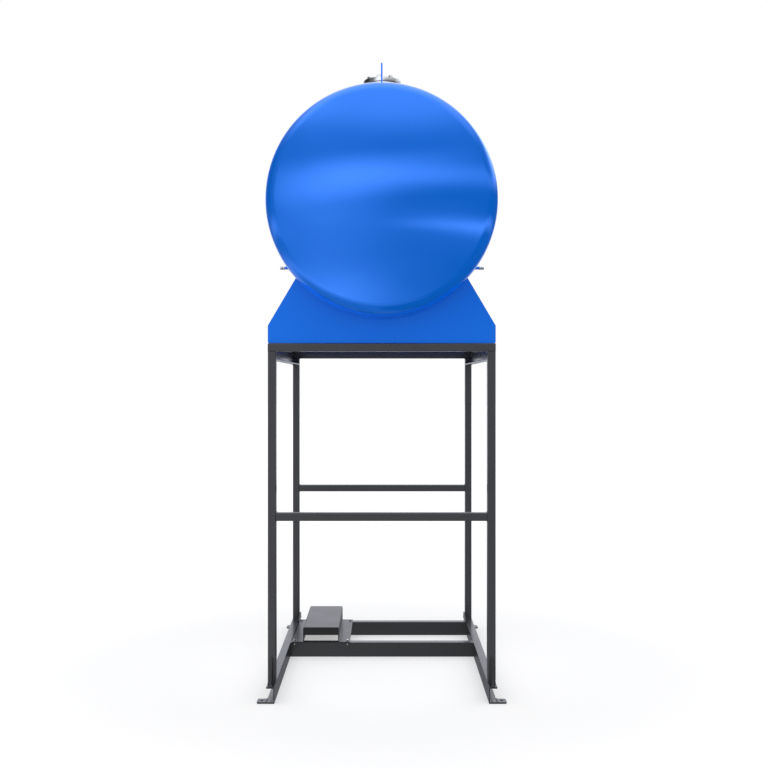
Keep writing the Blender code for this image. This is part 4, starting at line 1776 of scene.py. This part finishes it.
    def _front(self, graph: Graph, azimuth: bpy.types.NodeSocket, elevation: bpy.types.NodeSocket
               ) -> bpy.types.NodeSocket:
        """Works out what glossy faces mirror in front of the object and above it.

        Args:
            graph: The world's graph.
            azimuth: The ray's azimuth in degrees.
            elevation: The ray's elevation in degrees.

        Returns:
            The light, with all softboxes.
        """
        light = graph.ramp(elevation, self.sky_start, self.sky_end, self.front_light, self.sky_light)
        zenith = graph.ramp(elevation, self.zenith_start, self.zenith_end, 0.0, self.zenith_light)
        ground = graph.ramp(elevation, self.ground_end, self.ground_start, self.ground_light, 0.0)
        light = graph.math("ADD", light, graph.math("ADD", zenith, ground))
        for box in self.softboxes:
            light = graph.math("ADD", light, self._patch(graph, box, azimuth, elevation))
        return graph.math("MAXIMUM", light, self.least_light)

    def _glossy(self, graph: Graph, azimuth: bpy.types.NodeSocket, elevation: bpy.types.NodeSocket
                ) -> dict[str, bpy.types.NodeSocket]:
        """Works out the light and tint that glossy faces mirror all round.

        Args:
            graph: The world's graph.
            azimuth: The ray's azimuth in degrees.
            elevation: The ray's elevation in degrees.

        Returns:
            The strength and the colour, by the names of a background's inputs.
        """
        light = self._front(graph, azimuth, elevation)
        behind = graph.ramp(elevation, *self.behind_rise, self.behind_low, self.behind_level)
        crest = graph.ramp(elevation, *self.behind_crest, 0.0, self.behind_high - self.behind_level)
        behind = graph.math("ADD", behind, crest)
        off_centre = graph.math("ABSOLUTE", graph.math("SUBTRACT", azimuth, self.behind_centre))
        share = graph.ramp(off_centre, *self.behind_edge, 0.0, 1.0)
        step = graph.math("MULTIPLY", graph.math("SUBTRACT", behind, light), share)
        beside = graph.ramp(graph.math("ABSOLUTE", azimuth), *self.side_edge, 0.0, 1.0)
        tint = graph.blend(share, graph.blend(beside, WHITE, self.side_tint), self.behind_tint)
        return {"Strength": graph.math("ADD", light, step), "Color": tint}

    def surround(self) -> None:
        """Builds the world: white to the camera, even to matt faces, softboxes to glossy ones."""
        world = bpy.data.worlds.new("studio")
        bpy.context.scene.world = world
        world.use_nodes = True
        world.cycles.sampling_method = "NONE"
        world.node_tree.nodes.clear()
        graph = Graph(world.node_tree)
        way = graph.node("ShaderNodeSeparateXYZ")
        graph.feed(way.inputs[0], graph.node("ShaderNodeTexCoord").outputs["Generated"])
        forwards = graph.math("MULTIPLY", way.outputs["Y"], -1.0)
        azimuth = graph.math("DEGREES", graph.math("ARCTAN2", way.outputs["X"], forwards))
        elevation = graph.math("DEGREES", graph.math("ARCSINE", way.outputs["Z"]))
        even = graph.ramp(elevation, -90.0, 90.0, self.matt_low, self.matt_high)
        kinds = (self._glossy(graph, azimuth, elevation), {"Strength": even, "Color": WHITE},
                 {"Strength": 1.0, "Color": WHITE})
        glossy, matt, seen = (graph.fed("ShaderNodeBackground", kind).outputs[0] for kind in kinds)
        path = graph.node("ShaderNodeLightPath").outputs
        lit = graph.mixed_shader(path["Is Glossy Ray"], matt, glossy)
        whole = graph.mixed_shader(path["Is Camera Ray"], lit, seen)
        graph.feed(graph.node("ShaderNodeOutputWorld").inputs["Surface"], whole)

    def build(self) -> None:
        """Sets up the whole studio."""
        bpy.context.scene.view_settings.view_transform = "Standard"
        self.camera()
        self.floor()
        self.surround()


def main() -> None:
    """Loads the frame, builds every sub-assembly in order and reports each piece."""
    logging.basicConfig(level=logging.INFO, format="%(message)s")
    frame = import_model()
    Studio().build()
    effects = Effects()
    blue, saddle_lit_paint, grey, floor_shade_grey, shelf_shade_grey, plated, turned, gasket = (
        coating.made(effects) for coating in (TANK_BLUE, SADDLE_LIT_BLUE, STAND_GREY, FLOOR_SHADED_GREY, SHELF_SHADED_GREY,
                                              PLATED_ZINC, TURNED_ZINC, GASKET_GREY))
    tank = Tank(blue)
    assemblies = [Stand(grey, floor_shade_grey), FloorFittings(floor_shade_grey), PumpShelf(shelf_shade_grey, plated),
                  StandWelds(grey, floor_shade_grey), tank, Saddles(saddle_lit_paint, tank), LiftingLugs(blue, tank),
                  Inlet(blue, turned, plated, gasket, tank), SmallFittings(blue, plated, tank)]
    for assembly in assemblies:
        for piece in assembly.build():
            LOG.info("%s: %s, %d faces", type(assembly).__name__, piece.name, len(piece.data.polygons))
    for node, solid in frame["nodes"].items():
        if not solid.hide_render:
            LOG.warning("%s still shows its packed solid", node)


if __name__ == "__main__":
    main()
